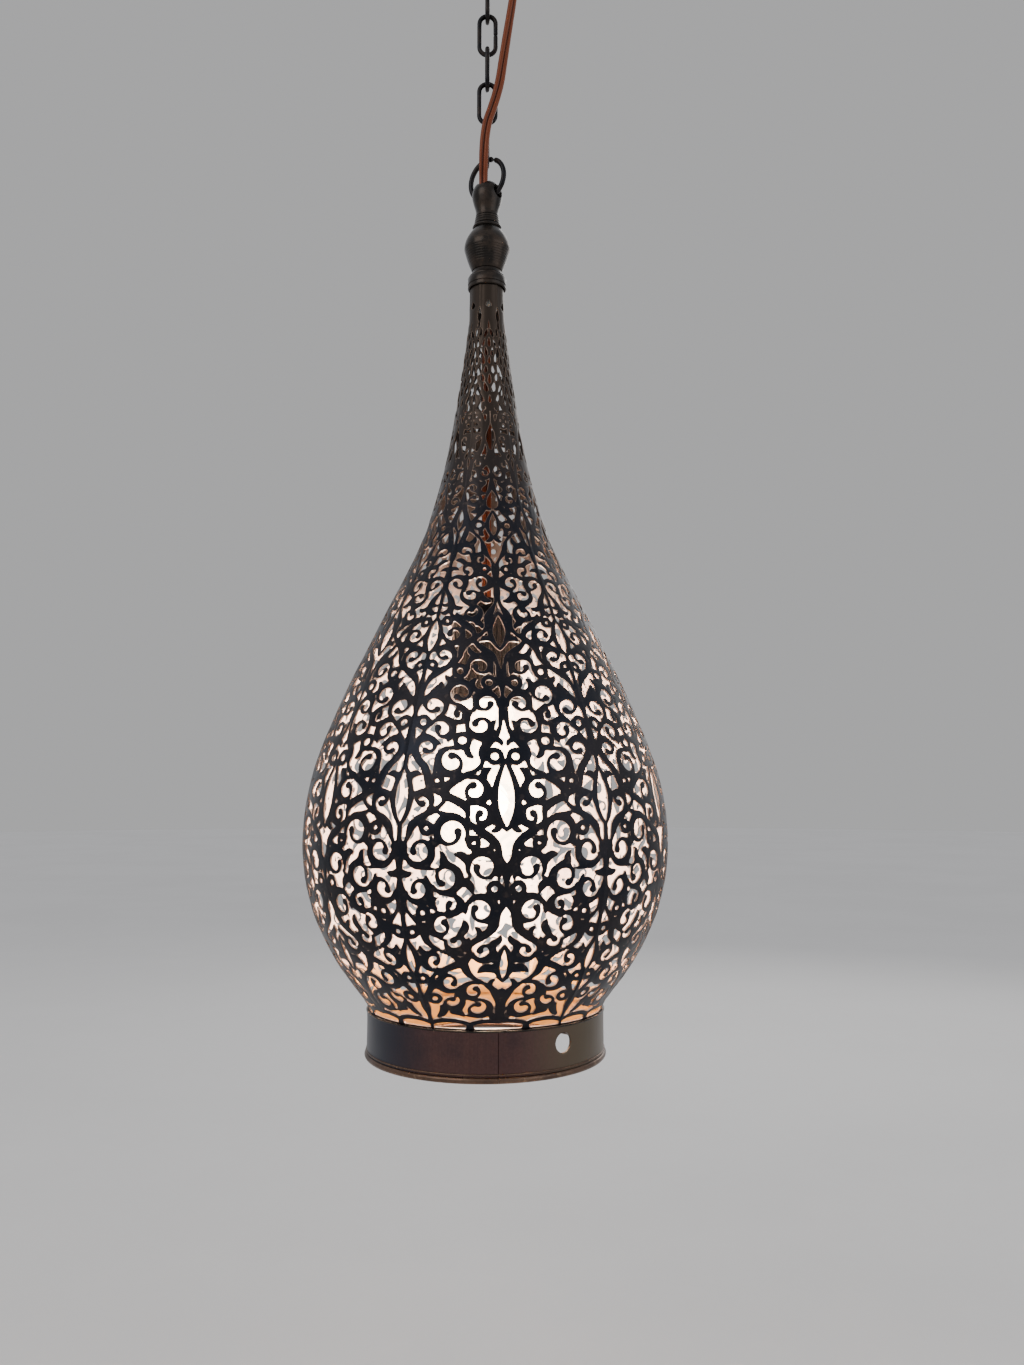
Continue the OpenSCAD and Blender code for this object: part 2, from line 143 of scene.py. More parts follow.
def through(points: Sequence[Sequence[float]], steps: int) -> Array:
    """Smooth curve through points.

    Between b and c it is half of 2b + (c-a)t + (2a-5b+4c-d)t^2 + (3b-a-3c+d)t^3, with a and d the
    points before and after, and t from 0 to 1.

    Args:
        points: The points, in order.
        steps: Steps between two of them.

    Returns:
        The curve's points, first and last point included.
    """
    p = np.array(points, float)
    i = np.repeat(np.arange(len(p) - 1), steps)
    t = np.tile(np.arange(steps) / steps, len(p) - 1)[:, None]
    a, b, c, d = p[np.maximum(i - 1, 0)], p[i], p[i + 1], p[np.minimum(i + 2, len(p) - 1)]
    q = 0.5 * (2 * b + (c - a) * t + (2 * a - 5 * b + 4 * c - d) * t**2 + (3 * b - a - 3 * c + d) * t**3)
    return np.vstack([q, p[-1]])


def evenly(points: Array, spacing: float) -> Array:
    """The same line with points about the same distance apart, by linear steps along its length."""
    run = np.concatenate([[0], np.cumsum(np.linalg.norm(np.diff(points, axis=0), axis=1))])
    at = np.linspace(0, run[-1], max(2, int(round(run[-1] / spacing)) + 1))
    return np.stack([np.interp(at, run, points[:, k]) for k in range(points.shape[1])], axis=1)


@dataclass
class Shell:
    """Points and faces of a piece, in millimetres, with a finish number for each face.

    Attributes:
        points: One row for each point.
        faces: Corner numbers of triangles or quads, one array for each kind.
        finishes: Finish number of each face, in the order of faces.
        marks: Values at the points, by attribute name.
        maps: Values at the face corners' points, used as a UV map, or None.
    """

    points: Array
    faces: list[Array]
    finishes: list[Array] = field(default_factory=list)
    marks: dict[str, Array] = field(default_factory=dict)
    maps: Array | None = None

    def finish_numbers(self) -> Array:
        """Finish number of every face."""
        if self.finishes:
            return np.concatenate(self.finishes)
        return np.zeros(sum(len(f) for f in self.faces), int)

    def moved(self, shift: Sequence[float]) -> "Shell":
        """The same shell, shifted."""
        return Shell(self.points + np.array(shift, float), self.faces, self.finishes, self.marks, self.maps)

    def turned(self, turn: Array) -> "Shell":
        """The same shell, turned about the origin by the 3 by 3 matrix turn."""
        return Shell(self.points @ turn.T, self.faces, self.finishes, self.marks, self.maps)


def joined(*shells: Shell) -> Shell:
    """Several shells of one finish as one, with their maps if all have one."""
    bases = np.cumsum([0] + [len(s.points) for s in shells])
    groups = [[f + base for s, base in zip(shells, bases) for f in s.faces if f.shape[1] == corners]
              for corners in (4, 3)]
    maps = np.vstack([s.maps for s in shells]) if all(s.maps is not None for s in shells) else None
    return Shell(np.vstack([s.points for s in shells]), [np.vstack(g) for g in groups if g], maps=maps)


def grid_faces(rows: int, cols: int, wrap_rows: bool = False, wrap_cols: bool = False) -> Array:
    """Quads over a grid of points that is numbered row by row.

    Args:
        rows: Rows of points.
        cols: Points in a row.
        wrap_rows: True if the last row joins the first.
        wrap_cols: True if a row's last point joins its first.
    """
    r = np.arange(rows if wrap_rows else rows - 1)[:, None]
    c = np.arange(cols if wrap_cols else cols - 1)[None, :]
    r2, c2 = (r + 1) % rows, (c + 1) % cols
    quad = np.stack([r * cols + c, r2 * cols + c, r2 * cols + c2, r * cols + c2], axis=-1)
    return quad.reshape(-1, 4)


def end_fans(rows: int, sides: int) -> Array:
    """Triangles that close a wrapped grid's first and last row onto the two points numbered after it."""
    k = np.arange(sides)
    first, last, end = rows * sides, rows * sides + 1, (rows - 1) * sides
    return np.vstack([
        np.stack([np.full(sides, first), (k + 1) % sides, k], axis=1),
        np.stack([np.full(sides, last), end + k, end + (k + 1) % sides], axis=1)])


def full_turn(count: int) -> Array:
    """That many angles round a full turn, the end left out."""
    return np.linspace(0, 2 * np.pi, count, endpoint=False)


def about(radius, turn, z) -> Array:
    """Points at radii, turns about the vertical and heights, which are broadcast together."""
    return np.stack(np.broadcast_arrays(radius * np.cos(turn), radius * np.sin(turn), z), axis=-1)


def spun_surface(outline: Array, sides: int) -> tuple[Array, Array]:
    """Points and outward normals round the vertical of an outline that runs down its outside."""
    turn = full_turn(sides)[None, :]
    tangent = np.gradient(outline, axis=0)
    tangent /= np.maximum(np.linalg.norm(tangent, axis=1, keepdims=True), 1e-9)
    points = about(np.maximum(outline[:, :1], 0), turn, outline[:, 1:])
    return points, about(-tangent[:, 1:], turn, tangent[:, :1])


def turned_piece(outline: Sequence[Sequence[float]], sides: int = 96, closed: bool = False,
                 swell: Callable[[Array, Array], Array] | None = None) -> Shell:
    """Solid of revolution about the upright axis.

    A point of the outline (r, z) goes to (r cos a, r sin a, z), a from 0 to a full turn.

    Args:
        outline: Radii and heights, from the foot up along the outside, or a closed loop that runs up
            its outside and down its inside.
        sides: Points round.
        closed: True for a loop. Otherwise the outline's ends are closed on the axis.
        swell: What to add to the radius, from the angles and the heights.
    """
    p = np.array(outline, float)
    a = full_turn(sides)[None, :]
    r = np.broadcast_to(p[:, :1], (len(p), sides))
    z = np.broadcast_to(p[:, 1:], r.shape)
    if swell is not None:
        r = r + swell(np.broadcast_to(a, r.shape), z)
    points = about(r, a, z).reshape(-1, 3)
    quads = grid_faces(len(p), sides, wrap_rows=closed, wrap_cols=True)[:, [0, 3, 2, 1]]
    if closed:
        return Shell(points, [quads])
    ends = np.array([[0, 0, p[0, 1]], [0, 0, p[-1, 1]]])
    return Shell(np.vstack([points, ends]), [quads, end_fans(len(p), sides)])


def carried(path: Array, section: Array, flat: Sequence, closed: bool = False,
            width: Array | None = None) -> Shell:
    """A section carried along a path, with flat ends.

    At each point of the path the section lies across the tangent: its first coordinate along side and
    its second along side's cross product with the tangent. Side is flat made square to the tangent.

    Args:
        path: Points of the centre line.
        section: Points of the section, two numbers each, anticlockwise.
        flat: Direction of the section's first coordinate, one for the whole path or one for each point.
        closed: True if the path's end joins its start.
        width: Size of the section at each point, or None for 1.

    Returns:
        The shell, with a map of distance along and share of the way round.
    """
    if closed:
        tangent = np.roll(path, -1, axis=0) - np.roll(path, 1, axis=0)
    else:
        tangent = np.gradient(path, axis=0)
    tangent /= np.linalg.norm(tangent, axis=1, keepdims=True)
    flat = np.broadcast_to(np.asarray(flat, float), path.shape)
    side = flat - (flat * tangent).sum(1, keepdims=True) * tangent
    side /= np.linalg.norm(side, axis=1, keepdims=True)
    across = np.cross(tangent, side)
    size = np.ones(len(path)) if width is None else width
    s = section[None, :, :] * size[:, None, None]
    points = path[:, None, :] + s[..., :1] * side[:, None, :] + s[..., 1:] * across[:, None, :]
    points = points.reshape(-1, 3)
    n = len(section)
    quads = grid_faces(len(path), n, wrap_rows=closed, wrap_cols=True)[:, [0, 3, 2, 1]]
    run = np.concatenate([[0], np.cumsum(np.linalg.norm(np.diff(path, axis=0), axis=1))])
    maps = np.stack(np.broadcast_arrays(run[:, None], (np.arange(n) / n)[None, :]), axis=-1).reshape(-1, 2)
    if closed:
        return Shell(points, [quads], maps=maps)
    maps = np.vstack([maps, [[0, 0], [run[-1], 0]]])
    return Shell(np.vstack([points, path[:1], path[-1:]]), [quads, end_fans(len(path), n)], maps=maps)


def round_section(diameter: float, sides: int = 20) -> Array:
    """Circle of that diameter."""
    a = full_turn(sides)
    return diameter / 2 * np.stack([np.cos(a), np.sin(a)], axis=1)


def twin_section(width: float, thickness: float) -> Array:
    """Two round cores side by side with a waist between them, as one outline.

    Each core is a circle of the flex's thickness, and the circles' inner quarters are cut off where
    they meet in the middle.
    """
    r = thickness / 2
    offset = width / 2 - r
    waist = math.acos(min(0.96, offset / r * 0.98))
    a = np.linspace(-(np.pi - waist), np.pi - waist, 14)
    right = np.stack([offset + r * np.cos(a), r * np.sin(a)], axis=1)
    return np.vstack([right, -right])


# A grid point of a plate is kept this far from the edge of an opening, in millimetres, and a cut stays
# this share of a cell's side away from its ends.
LEAST_SHARE = 1e-4
LEAST_CUT = 0.04


def plate(points: Array, normals: Array, share: Array, wall: float, wrap: bool = False,
          rounding: float = 0.0) -> Shell:
    """Sheet of even thickness with holes, over a grid of points.

    Each cell is two triangles. A triangle stays where share is above 0, and is cut along the line
    where share is 0, found by straight interpolation on its sides. The kept sheet is repeated at
    point - wall * normal, and a wall joins the two along every open side.

    Args:
        points: Outer surface, rows by columns by three.
        normals: Outward normals at the same points.
        share: Above 0 where there is metal.
        wall: Thickness.
        wrap: True if a row's last point joins its first.
        rounding: How far the outer side's points at an opening are drawn in.

    Returns:
        The shell. Finish 0 is the outside, 1 the inside and 2 the cut edges. The mark "rim" is the
        share at each point.
    """
    rows, cols = share.shape
    pos = points.reshape(-1, 3)
    nor = normals.reshape(-1, 3)
    f = share.reshape(-1).astype(float)
    f = np.where(np.abs(f) < LEAST_SHARE, LEAST_SHARE, f)
    q = grid_faces(rows, cols, wrap_cols=wrap)
    odd = ((q[:, 0] // cols + q[:, 0] % cols) % 2).astype(bool)
    a = np.where(odd[:, None], q[:, [0, 1, 2]], q[:, [0, 1, 3]])
    b = np.where(odd[:, None], q[:, [0, 2, 3]], q[:, [1, 2, 3]])
    tri = np.vstack([a, b])
    inside = f[tri] > 0
    count = inside.sum(1)
    whole = tri[count == 3]

    def rolled(kind: int, wanted: bool) -> Array:
        """Triangles with that many kept corners, turned so that the odd corner comes first."""
        t, m = tri[count == kind], inside[count == kind]
        first = np.argmax(m == wanted, axis=1)
        index = (first[:, None] + np.arange(3)[None, :]) % 3
        return np.take_along_axis(t, index, axis=1)

    one, two = rolled(1, True), rolled(2, False)
    sides = np.vstack([one[:, [0, 1]], one[:, [0, 2]], two[:, [0, 1]], two[:, [0, 2]]])
    key = np.sort(sides, axis=1)
    unique, where = np.unique(key, axis=0, return_inverse=True)
    where = where.reshape(-1) + len(pos)
    t = (f[unique[:, 0]] / (f[unique[:, 0]] - f[unique[:, 1]]))[:, None]
    t = np.clip(t, LEAST_CUT, 1 - LEAST_CUT)
    new_pos = pos[unique[:, 0]] * (1 - t) + pos[unique[:, 1]] * t
    new_nor = nor[unique[:, 0]] * (1 - t) + nor[unique[:, 1]] * t
    n1, n2 = len(one), len(two)
    o1, o2 = where[:n1], where[n1 : 2 * n1]
    w1, w2 = where[2 * n1 : 2 * n1 + n2], where[2 * n1 + n2 :]
    tris = np.vstack([
        whole,
        np.stack([one[:, 0], o1, o2], axis=1),
        np.stack([w1, two[:, 1], two[:, 2]], axis=1),
        np.stack([w1, two[:, 2], w2], axis=1)])
    all_pos = np.vstack([pos, new_pos])
    all_nor = np.vstack([nor, new_nor])
    rim = np.concatenate([np.maximum(f, 0), np.zeros(len(new_pos))])
    used, back = np.unique(tris, return_inverse=True)
    tris = back.reshape(tris.shape)
    all_pos, all_nor, rim = all_pos[used], all_nor[used], rim[used]
    spots, back = np.unique(np.round(all_pos, 4), axis=0, return_inverse=True)
    back = back.reshape(-1)
    merged = np.zeros(len(spots), int)
    merged[back] = np.arange(len(back))
    all_pos, all_nor, rim = all_pos[merged], all_nor[merged], rim[merged]
    tris = back[tris]
    tris = tris[(tris != np.roll(tris, 1, axis=1)).all(axis=1)]
    all_nor /= np.linalg.norm(all_nor, axis=1, keepdims=True)
    facing = np.cross(all_pos[tris[:, 1]] - all_pos[tris[:, 0]], all_pos[tris[:, 2]] - all_pos[tris[:, 0]])
    if (facing * all_nor[tris[:, 0]]).sum() < 0:
        tris = tris[:, ::-1]
    edges = np.vstack([tris[:, [0, 1]], tris[:, [1, 2]], tris[:, [2, 0]]])
    ends = np.sort(edges, axis=1)
    _, first, times = np.unique(ends, axis=0, return_index=True, return_counts=True)
    open_sides = edges[first[times == 1]]
    n = len(all_pos)
    at_rim = np.zeros(n, bool)
    at_rim[open_sides.reshape(-1)] = True
    outer = all_pos - all_nor * (rounding * at_rim)[:, None]
    inner = all_pos - all_nor * (wall - rounding * at_rim)[:, None]
    walls = np.hstack([open_sides[:, ::-1], open_sides + n])
    return Shell(np.vstack([outer, inner]), [tris, tris[:, ::-1] + n, walls],
                 [np.zeros(len(tris), int), np.ones(len(tris), int), np.full(len(walls), 2)],
                 {"rim": np.concatenate([rim, rim])})


def grid_normals(points: Array) -> Array:
    """Unit normals of a grid of points, by the cross product of its two directions."""
    n = np.cross(np.gradient(points, axis=0), np.gradient(points, axis=1))
    size = np.linalg.norm(n, axis=-1, keepdims=True)
    return n / np.maximum(size, 1e-9)


# Angle between two faces, in degrees, above which their edge is shaded sharp.
SHARP_FROM = 35.0


def build(name: str, shell: Shell, finishes: Sequence[bpy.types.Material]) -> bpy.types.Object:
    """Makes a Blender object of a shell.

    Args:
        name: The piece's name.
        shell: Its points and faces, in millimetres.
        finishes: Materials, by finish number.
    """
    mesh = bpy.data.meshes.new(name)
    sizes = np.concatenate([np.full(len(f), f.shape[1]) for f in shell.faces])
    corners = np.concatenate([f.reshape(-1) for f in shell.faces])
    mesh.vertices.add(len(shell.points))
    mesh.vertices.foreach_set("co", (shell.points * MM).astype(np.float32).reshape(-1))
    mesh.loops.add(len(corners))
    mesh.loops.foreach_set("vertex_index", corners.astype(np.int32))
    mesh.polygons.add(len(sizes))
    mesh.polygons.foreach_set("loop_start", np.concatenate([[0], np.cumsum(sizes)[:-1]]).astype(np.int32))
    mesh.polygons.foreach_set("material_index", shell.finish_numbers().astype(np.int32))
    mesh.update(calc_edges=True)
    if shell.maps is not None:
        layer = mesh.uv_layers.new(name="run")
        layer.data.foreach_set("uv", shell.maps[corners].astype(np.float32).reshape(-1))
    for key, values in shell.marks.items():
        mesh.attributes.new(key, "FLOAT", "POINT").data.foreach_set("value", values.astype(np.float32))
    for material in finishes:
        mesh.materials.append(material)
    mesh.validate()
    mesh.shade_smooth()
    mesh.set_sharp_from_angle(angle=math.radians(SHARP_FROM))
    obj = bpy.data.objects.new(name, mesh)
    bpy.context.scene.collection.objects.link(obj)
    return obj


def name_slot(obj: bpy.types.Object, slot: str, *nodes: str) -> None:
    """Hides the CAD nodes that a piece stands for, and reports the piece."""
    if nodes:
        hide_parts(*nodes)
    LOG.info("%s: %d faces", obj.name, len(obj.data.polygons))


# ---------------------------------------------------------------- shader groups and finishes


class Tree:
    """Writes nodes and links into a node tree."""

    def __init__(self, tree: bpy.types.NodeTree) -> None:
        """Keeps the tree."""
        self.tree = tree
        self.count = 0

    def feed(self, node: bpy.types.Node, inputs: dict) -> None:
        """Gives a node's inputs, by name or number, a value or the socket that they are linked to."""
        for key, value in inputs.items():
            if isinstance(value, bpy.types.NodeSocket):
                self.tree.links.new(value, node.inputs[key])
            else:
                node.inputs[key].default_value = value

    def node(self, kind: str, inputs: dict | None = None, **settings) -> bpy.types.Node:
        """Adds a node.

        Args:
            kind: The node's type.
            inputs: Values or output sockets, by the input's name or number.
            settings: The node's own settings.
        """
        made = self.tree.nodes.new(kind)
        self.count += 1
        made.location = (180 * (self.count % 12), -220 * (self.count // 12))
        for key, value in settings.items():
            setattr(made, key, value)
        self.feed(made, inputs or {})
        return made

    def group(self, tree: bpy.types.NodeTree, inputs: dict) -> dict[str, bpy.types.NodeSocket]:
        """Adds a group and gives its outputs by name."""
        return {s.name: s for s in self.node("ShaderNodeGroup", inputs, node_tree=tree).outputs}

    def place(self) -> bpy.types.NodeSocket:
        """Object coordinates of the shaded point."""
        return self.node("ShaderNodeTexCoord").outputs["Object"]

    def math(self, operation: str, *values) -> bpy.types.NodeSocket:
        """A Math node's result."""
        return self.node("ShaderNodeMath", dict(enumerate(values)), operation=operation).outputs[0]

    def about_zero(self, value: bpy.types.NodeSocket, amount) -> bpy.types.NodeSocket:
        """value less a half, times amount."""
        return self.math("MULTIPLY", self.math("SUBTRACT", value, 0.5), amount)

    def noise(self, vector: bpy.types.NodeSocket, scale, detail: float = 4.0,
              rough: float = 0.55) -> bpy.types.NodeSocket:
        """A Noise texture's value."""
        values = {"Vector": vector, "Scale": scale, "Detail": detail, "Roughness": rough}
        return self.node("ShaderNodeTexNoise", values).outputs[0]

    def mapped(self, value: bpy.types.NodeSocket, low: float, high: float, to_low: float = 0.0,
               to_high: float = 1.0, smooth: bool = True) -> bpy.types.NodeSocket:
        """value moved from one range to another and held there."""
        values = {"Value": value, "From Min": low, "From Max": high, "To Min": to_low, "To Max": to_high}
        kind = "SMOOTHSTEP" if smooth else "LINEAR"
        return self.node("ShaderNodeMapRange", values, interpolation_type=kind).outputs[0]

    def mixed(self, share, first, second, blend: str = "MIX") -> bpy.types.NodeSocket:
        """Two colours mixed."""
        values = {0: share, 6: first, 7: second}
        return self.node("ShaderNodeMix", values, data_type="RGBA", blend_type=blend).outputs[2]

    def bump(self, height: bpy.types.NodeSocket, distance: float, strength: float) -> bpy.types.NodeSocket:
        """Bumped normal, with the distance in millimetres."""
        values = {"Strength": strength, "Distance": distance * MM, "Height": height}
        return self.node("ShaderNodeBump", values).outputs[0]


def colour(red: float, green: float, blue: float) -> tuple[float, float, float, float]:
    """A colour with full alpha."""
    return (red, green, blue, 1.0)


# Colour of dust, and how far noise moves the edge of a zone, as a share of its span.
DUST_TONE = colour(0.42, 0.38, 0.34)
ZONE_STIR = 0.3


def shader_group(name: str, inputs: dict, *outputs: str) -> Callable:
    """Turns a function that writes a group's nodes into one that gives the group, built once.

    The function gets the writer and the group's input sockets and returns a tuple of what goes out.

    Args:
        name: The group's name.
        inputs: Default value of each input, a number or a colour.
        outputs: Names of the outputs. "Colour" is a colour and the others are numbers.
    """

    def wrap(write: Callable) -> Callable[[], bpy.types.NodeTree]:
        """Wraps the function."""

        @functools.cache
        @functools.wraps(write)
        def made() -> bpy.types.NodeTree:
            """Builds the group."""
            tree = bpy.data.node_groups.new(name, "ShaderNodeTree")
            for key, value in inputs.items():
                kind = "NodeSocketColor" if isinstance(value, tuple) else "NodeSocketFloat"
                socket = tree.interface.new_socket(name=key, in_out="INPUT", socket_type=kind)
                socket.default_value = value
            for key in outputs:
                kind = "NodeSocketColor" if key == "Colour" else "NodeSocketFloat"
                tree.interface.new_socket(name=key, in_out="OUTPUT", socket_type=kind)
            t = Tree(tree)
            results = write(t, t.node("NodeGroupInput").outputs)
            t.node("NodeGroupOutput", dict(zip(outputs, results)))
            return tree

        return made

    return wrap


@shader_group("patina", {
    "Tone": colour(0.05, 0.04, 0.04), "Second tone": colour(0.1, 0.07, 0.05),
    "Speck tone": colour(0.3, 0.2, 0.12), "Specks": 0.2, "Mottle": 0.8, "Blotch scale": 40.0,
    "Grain scale": 900.0, "Roughness": 0.4, "Roughness spread": 0.15}, "Colour", "Roughness", "Height")
def patina_group(t: Tree, given: bpy.types.NodeOutputs) -> tuple:
    """Blotches of two tones of patina with fine grain, and the roughness and height that go with them."""
    at = t.place()
    blotch = t.mapped(t.noise(at, given["Blotch scale"], 5, 0.6), 0.38, 0.66)
    grain = t.noise(at, given["Grain scale"], 3, 0.7)
    coarse = t.math("MULTIPLY", given["Grain scale"], 0.35)
    speck = t.mapped(t.noise(at, coarse, 2, 0.5), 0.6, 0.72)
    tone = t.mixed(blotch, given["Tone"], given["Second tone"])
    tone = t.mixed(t.math("MULTIPLY", speck, given["Specks"]), tone, given["Speck tone"])
    bright = t.math("ADD", 1.0, t.about_zero(grain, given["Mottle"]))
    grey = t.node("ShaderNodeCombineColor", {0: bright, 1: bright, 2: bright}).outputs[0]
    rough = t.math("ADD", given["Roughness"], t.about_zero(blotch, given["Roughness spread"]))
    height = t.math("ADD", t.math("MULTIPLY", grain, 0.5), t.math("MULTIPLY", blotch, 0.5))
    return t.mixed(1.0, tone, grey, "MULTIPLY"), rough, height


@shader_group("rubbed_rim", {"Reach": 0.35, "Amount": 0.8}, "Mask")
def rub_group(t: Tree, given: bpy.types.NodeOutputs) -> tuple:
    """Mask of metal rubbed bare beside an opening, from the mark "rim", broken up by noise."""
    rim = t.node("ShaderNodeAttribute", attribute_name="rim").outputs["Fac"]
    broken = t.mapped(t.noise(t.place(), 160.0, 4, 0.65), 0.35, 0.7, 0.0, 2.0, False)
    reach = t.math("MULTIPLY", given["Reach"], broken)
    near = t.math("SUBTRACT", 1.0, t.math("DIVIDE", rim, t.math("ADD", reach, 0.02)))
    return (t.math("MULTIPLY", t.mapped(near, 0.0, 0.6), given["Amount"]),)


@shader_group("height_mask", {"From": -0.4, "To": -0.3, "Stir": 0.05}, "Mask")
def height_group(t: Tree, given: bpy.types.NodeOutputs) -> tuple:
    """Mask that goes from 0 at one height to 1 at another, softened by noise."""
    at = t.place()
    z = t.node("ShaderNodeSeparateXYZ", {0: at}).outputs["Z"]
    stirred = t.math("ADD", z, t.about_zero(t.noise(at, 25.0, 3), given["Stir"]))
    span = t.math("SUBTRACT", given["To"], given["From"])
    share = t.math("DIVIDE", t.math("SUBTRACT", stirred, given["From"]), span)
    return (t.mapped(share, 0.0, 1.0),)


@shader_group("brushed", {"Scale": 900.0}, "Lines")
def brushed_group(t: Tree, given: bpy.types.NodeOutputs) -> tuple:
    """Fine upright brushed lines: noise over the turn that is stretched along the height."""
    split = t.node("ShaderNodeSeparateXYZ", {0: t.place()}).outputs
    turn = t.math("MULTIPLY", t.math("ARCTAN2", split["Y"], split["X"]), 0.06)
    low = t.math("MULTIPLY", split["Z"], 0.035)
    spot = t.node("ShaderNodeCombineXYZ", {0: turn, 1: low}).outputs[0]
    return (t.noise(spot, given["Scale"], 6, 0.7),)


@shader_group("dust", {"Amount": 0.3}, "Mask")
def dust_group(t: Tree, given: bpy.types.NodeOutputs) -> tuple:
    """Mask of dust that lies on faces that look up, thinned by noise."""
    coordinates = t.node("ShaderNodeTexCoord").outputs
    up = t.node("ShaderNodeSeparateXYZ", {0: coordinates["Normal"]}).outputs["Z"]
    thin = t.mapped(t.noise(coordinates["Object"], 220.0, 5, 0.7), 0.35, 0.75)
    lying = t.math("MULTIPLY", t.mapped(up, 0.25, 0.95), thin)
    return (t.math("MULTIPLY", lying, given["Amount"]),)


@shader_group("strands", {"Core": 0.3, "Lay": 0.9}, "Core", "Strands")
def strand_group(t: Tree, given: bpy.types.NodeOutputs) -> tuple:
    """Copper strands seen through the cover of a twin flex, from its own map.

    The map runs along the flex in millimetres and once round it. A core shows where the way round is
    near the middle of its half, and its strands are slanting lines there.
    """
    split = t.node("ShaderNodeSeparateXYZ", {0: t.node("ShaderNodeUVMap", uv_map="run").outputs[0]}).outputs
    half = t.math("FRACT", t.math("MULTIPLY", split["Y"], 2.0))
    edge = t.math("ABSOLUTE", t.math("SUBTRACT", half, 0.5))
    core = t.mapped(edge, given["Core"], 0.5, 1.0, 0.0)
    slant = t.math("ADD", t.math("MULTIPLY", split["X"], given["Lay"]), t.math("MULTIPLY", half, 7.0))
    return core, t.math("ABSOLUTE", t.math("SINE", t.math("MULTIPLY", slant, math.pi)))


class Surface:
    """A finish that writes its own shader.

    Attributes:
        name: Name of the material.
    """

    name: str

    def write(self, t: Tree, shader: bpy.types.Node, output: bpy.types.Node) -> None:
        """Writes the material's nodes.

        Args:
            t: Writer of the material's tree.
            shader: Its Principled shader.
            output: Its output, which the shader is linked to.
        """
        raise NotImplementedError

    def material(self) -> bpy.types.Material:
        """The finish as a material, made once."""
        material = bpy.data.materials.get(self.name)
        if material is None:
            material = bpy.data.materials.new(self.name)
            material.use_nodes = True
            material.node_tree.nodes.clear()
            t = Tree(material.node_tree)
            shader = t.node("ShaderNodeBsdfPrincipled")
            self.write(t, shader, t.node("ShaderNodeOutputMaterial", {"Surface": shader.outputs[0]}))
        return material


@dataclass(frozen=True)
class Patina(Surface):
    """Metal or moulded surface with mottled tone.

    Attributes:
        name: Name of the material.
        tone: Main colour.
        second: Colour of the blotches.
        bare: Colour of specks and rubbed places.
        metallic: Share of metal reflection.
        rough: Mean roughness.
        spread: How much the roughness varies.
        specks: Share of specks.
        mottle: How much the grain brightens and darkens the colour.
        blotch: Scale of the blotches.
        grain: Scale of the grain.
        bump: Height of the grain, in millimetres.
        rubbed: How far bare metal shows beside an opening, in millimetres, 0 for none.
        dust: Share of dust on faces that look up.
        coat: Weight of a clear lacquer.
        gloss: Specular level.
        zones: Colours that take over by height: where each starts, where it is full, and the colour.
    """

    name: str
    tone: tuple
    second: tuple
    bare: tuple = colour(0.55, 0.38, 0.22)
    metallic: float = 1.0
    rough: float = 0.4
    spread: float = 0.15
    specks: float = 0.15
    mottle: float = 0.8
    blotch: float = 45.0
    grain: float = 900.0
    bump: float = 0.02
    rubbed: float = 0.0
    dust: float = 0.0
    coat: float = 0.0
    gloss: float = 0.5
    zones: tuple = ()

    def write(self, t: Tree, shader: bpy.types.Node, output: bpy.types.Node) -> None:
        """Writes the material's nodes."""
        base = t.group(patina_group(), {
            "Tone": self.tone, "Second tone": self.second, "Speck tone": self.bare, "Specks": self.specks,
            "Mottle": self.mottle, "Blotch scale": self.blotch, "Grain scale": self.grain,
            "Roughness": self.rough, "Roughness spread": self.spread})
        tone, rough = base["Colour"], base["Roughness"]
        for start, full, zone_tone in self.zones:
            span = {"From": start, "To": full, "Stir": ZONE_STIR * abs(full - start)}
            tone = t.mixed(t.group(height_group(), span)["Mask"], tone, zone_tone)
        if self.rubbed > 0:
            tone = t.mixed(t.group(rub_group(), {"Reach": self.rubbed})["Mask"], tone, self.bare)
        if self.dust > 0:
            dust = t.group(dust_group(), {"Amount": self.dust})["Mask"]
            tone = t.mixed(dust, tone, DUST_TONE)
            rough = t.math("ADD", rough, t.math("MULTIPLY", dust, 0.4))
        t.feed(shader, {
            "Base Color": tone, "Roughness": rough, "Normal": t.bump(base["Height"], self.bump, 0.6),
            "Metallic": self.metallic, "Specular IOR Level": self.gloss, "Coat Weight": self.coat,
            "Coat Roughness": 0.2})


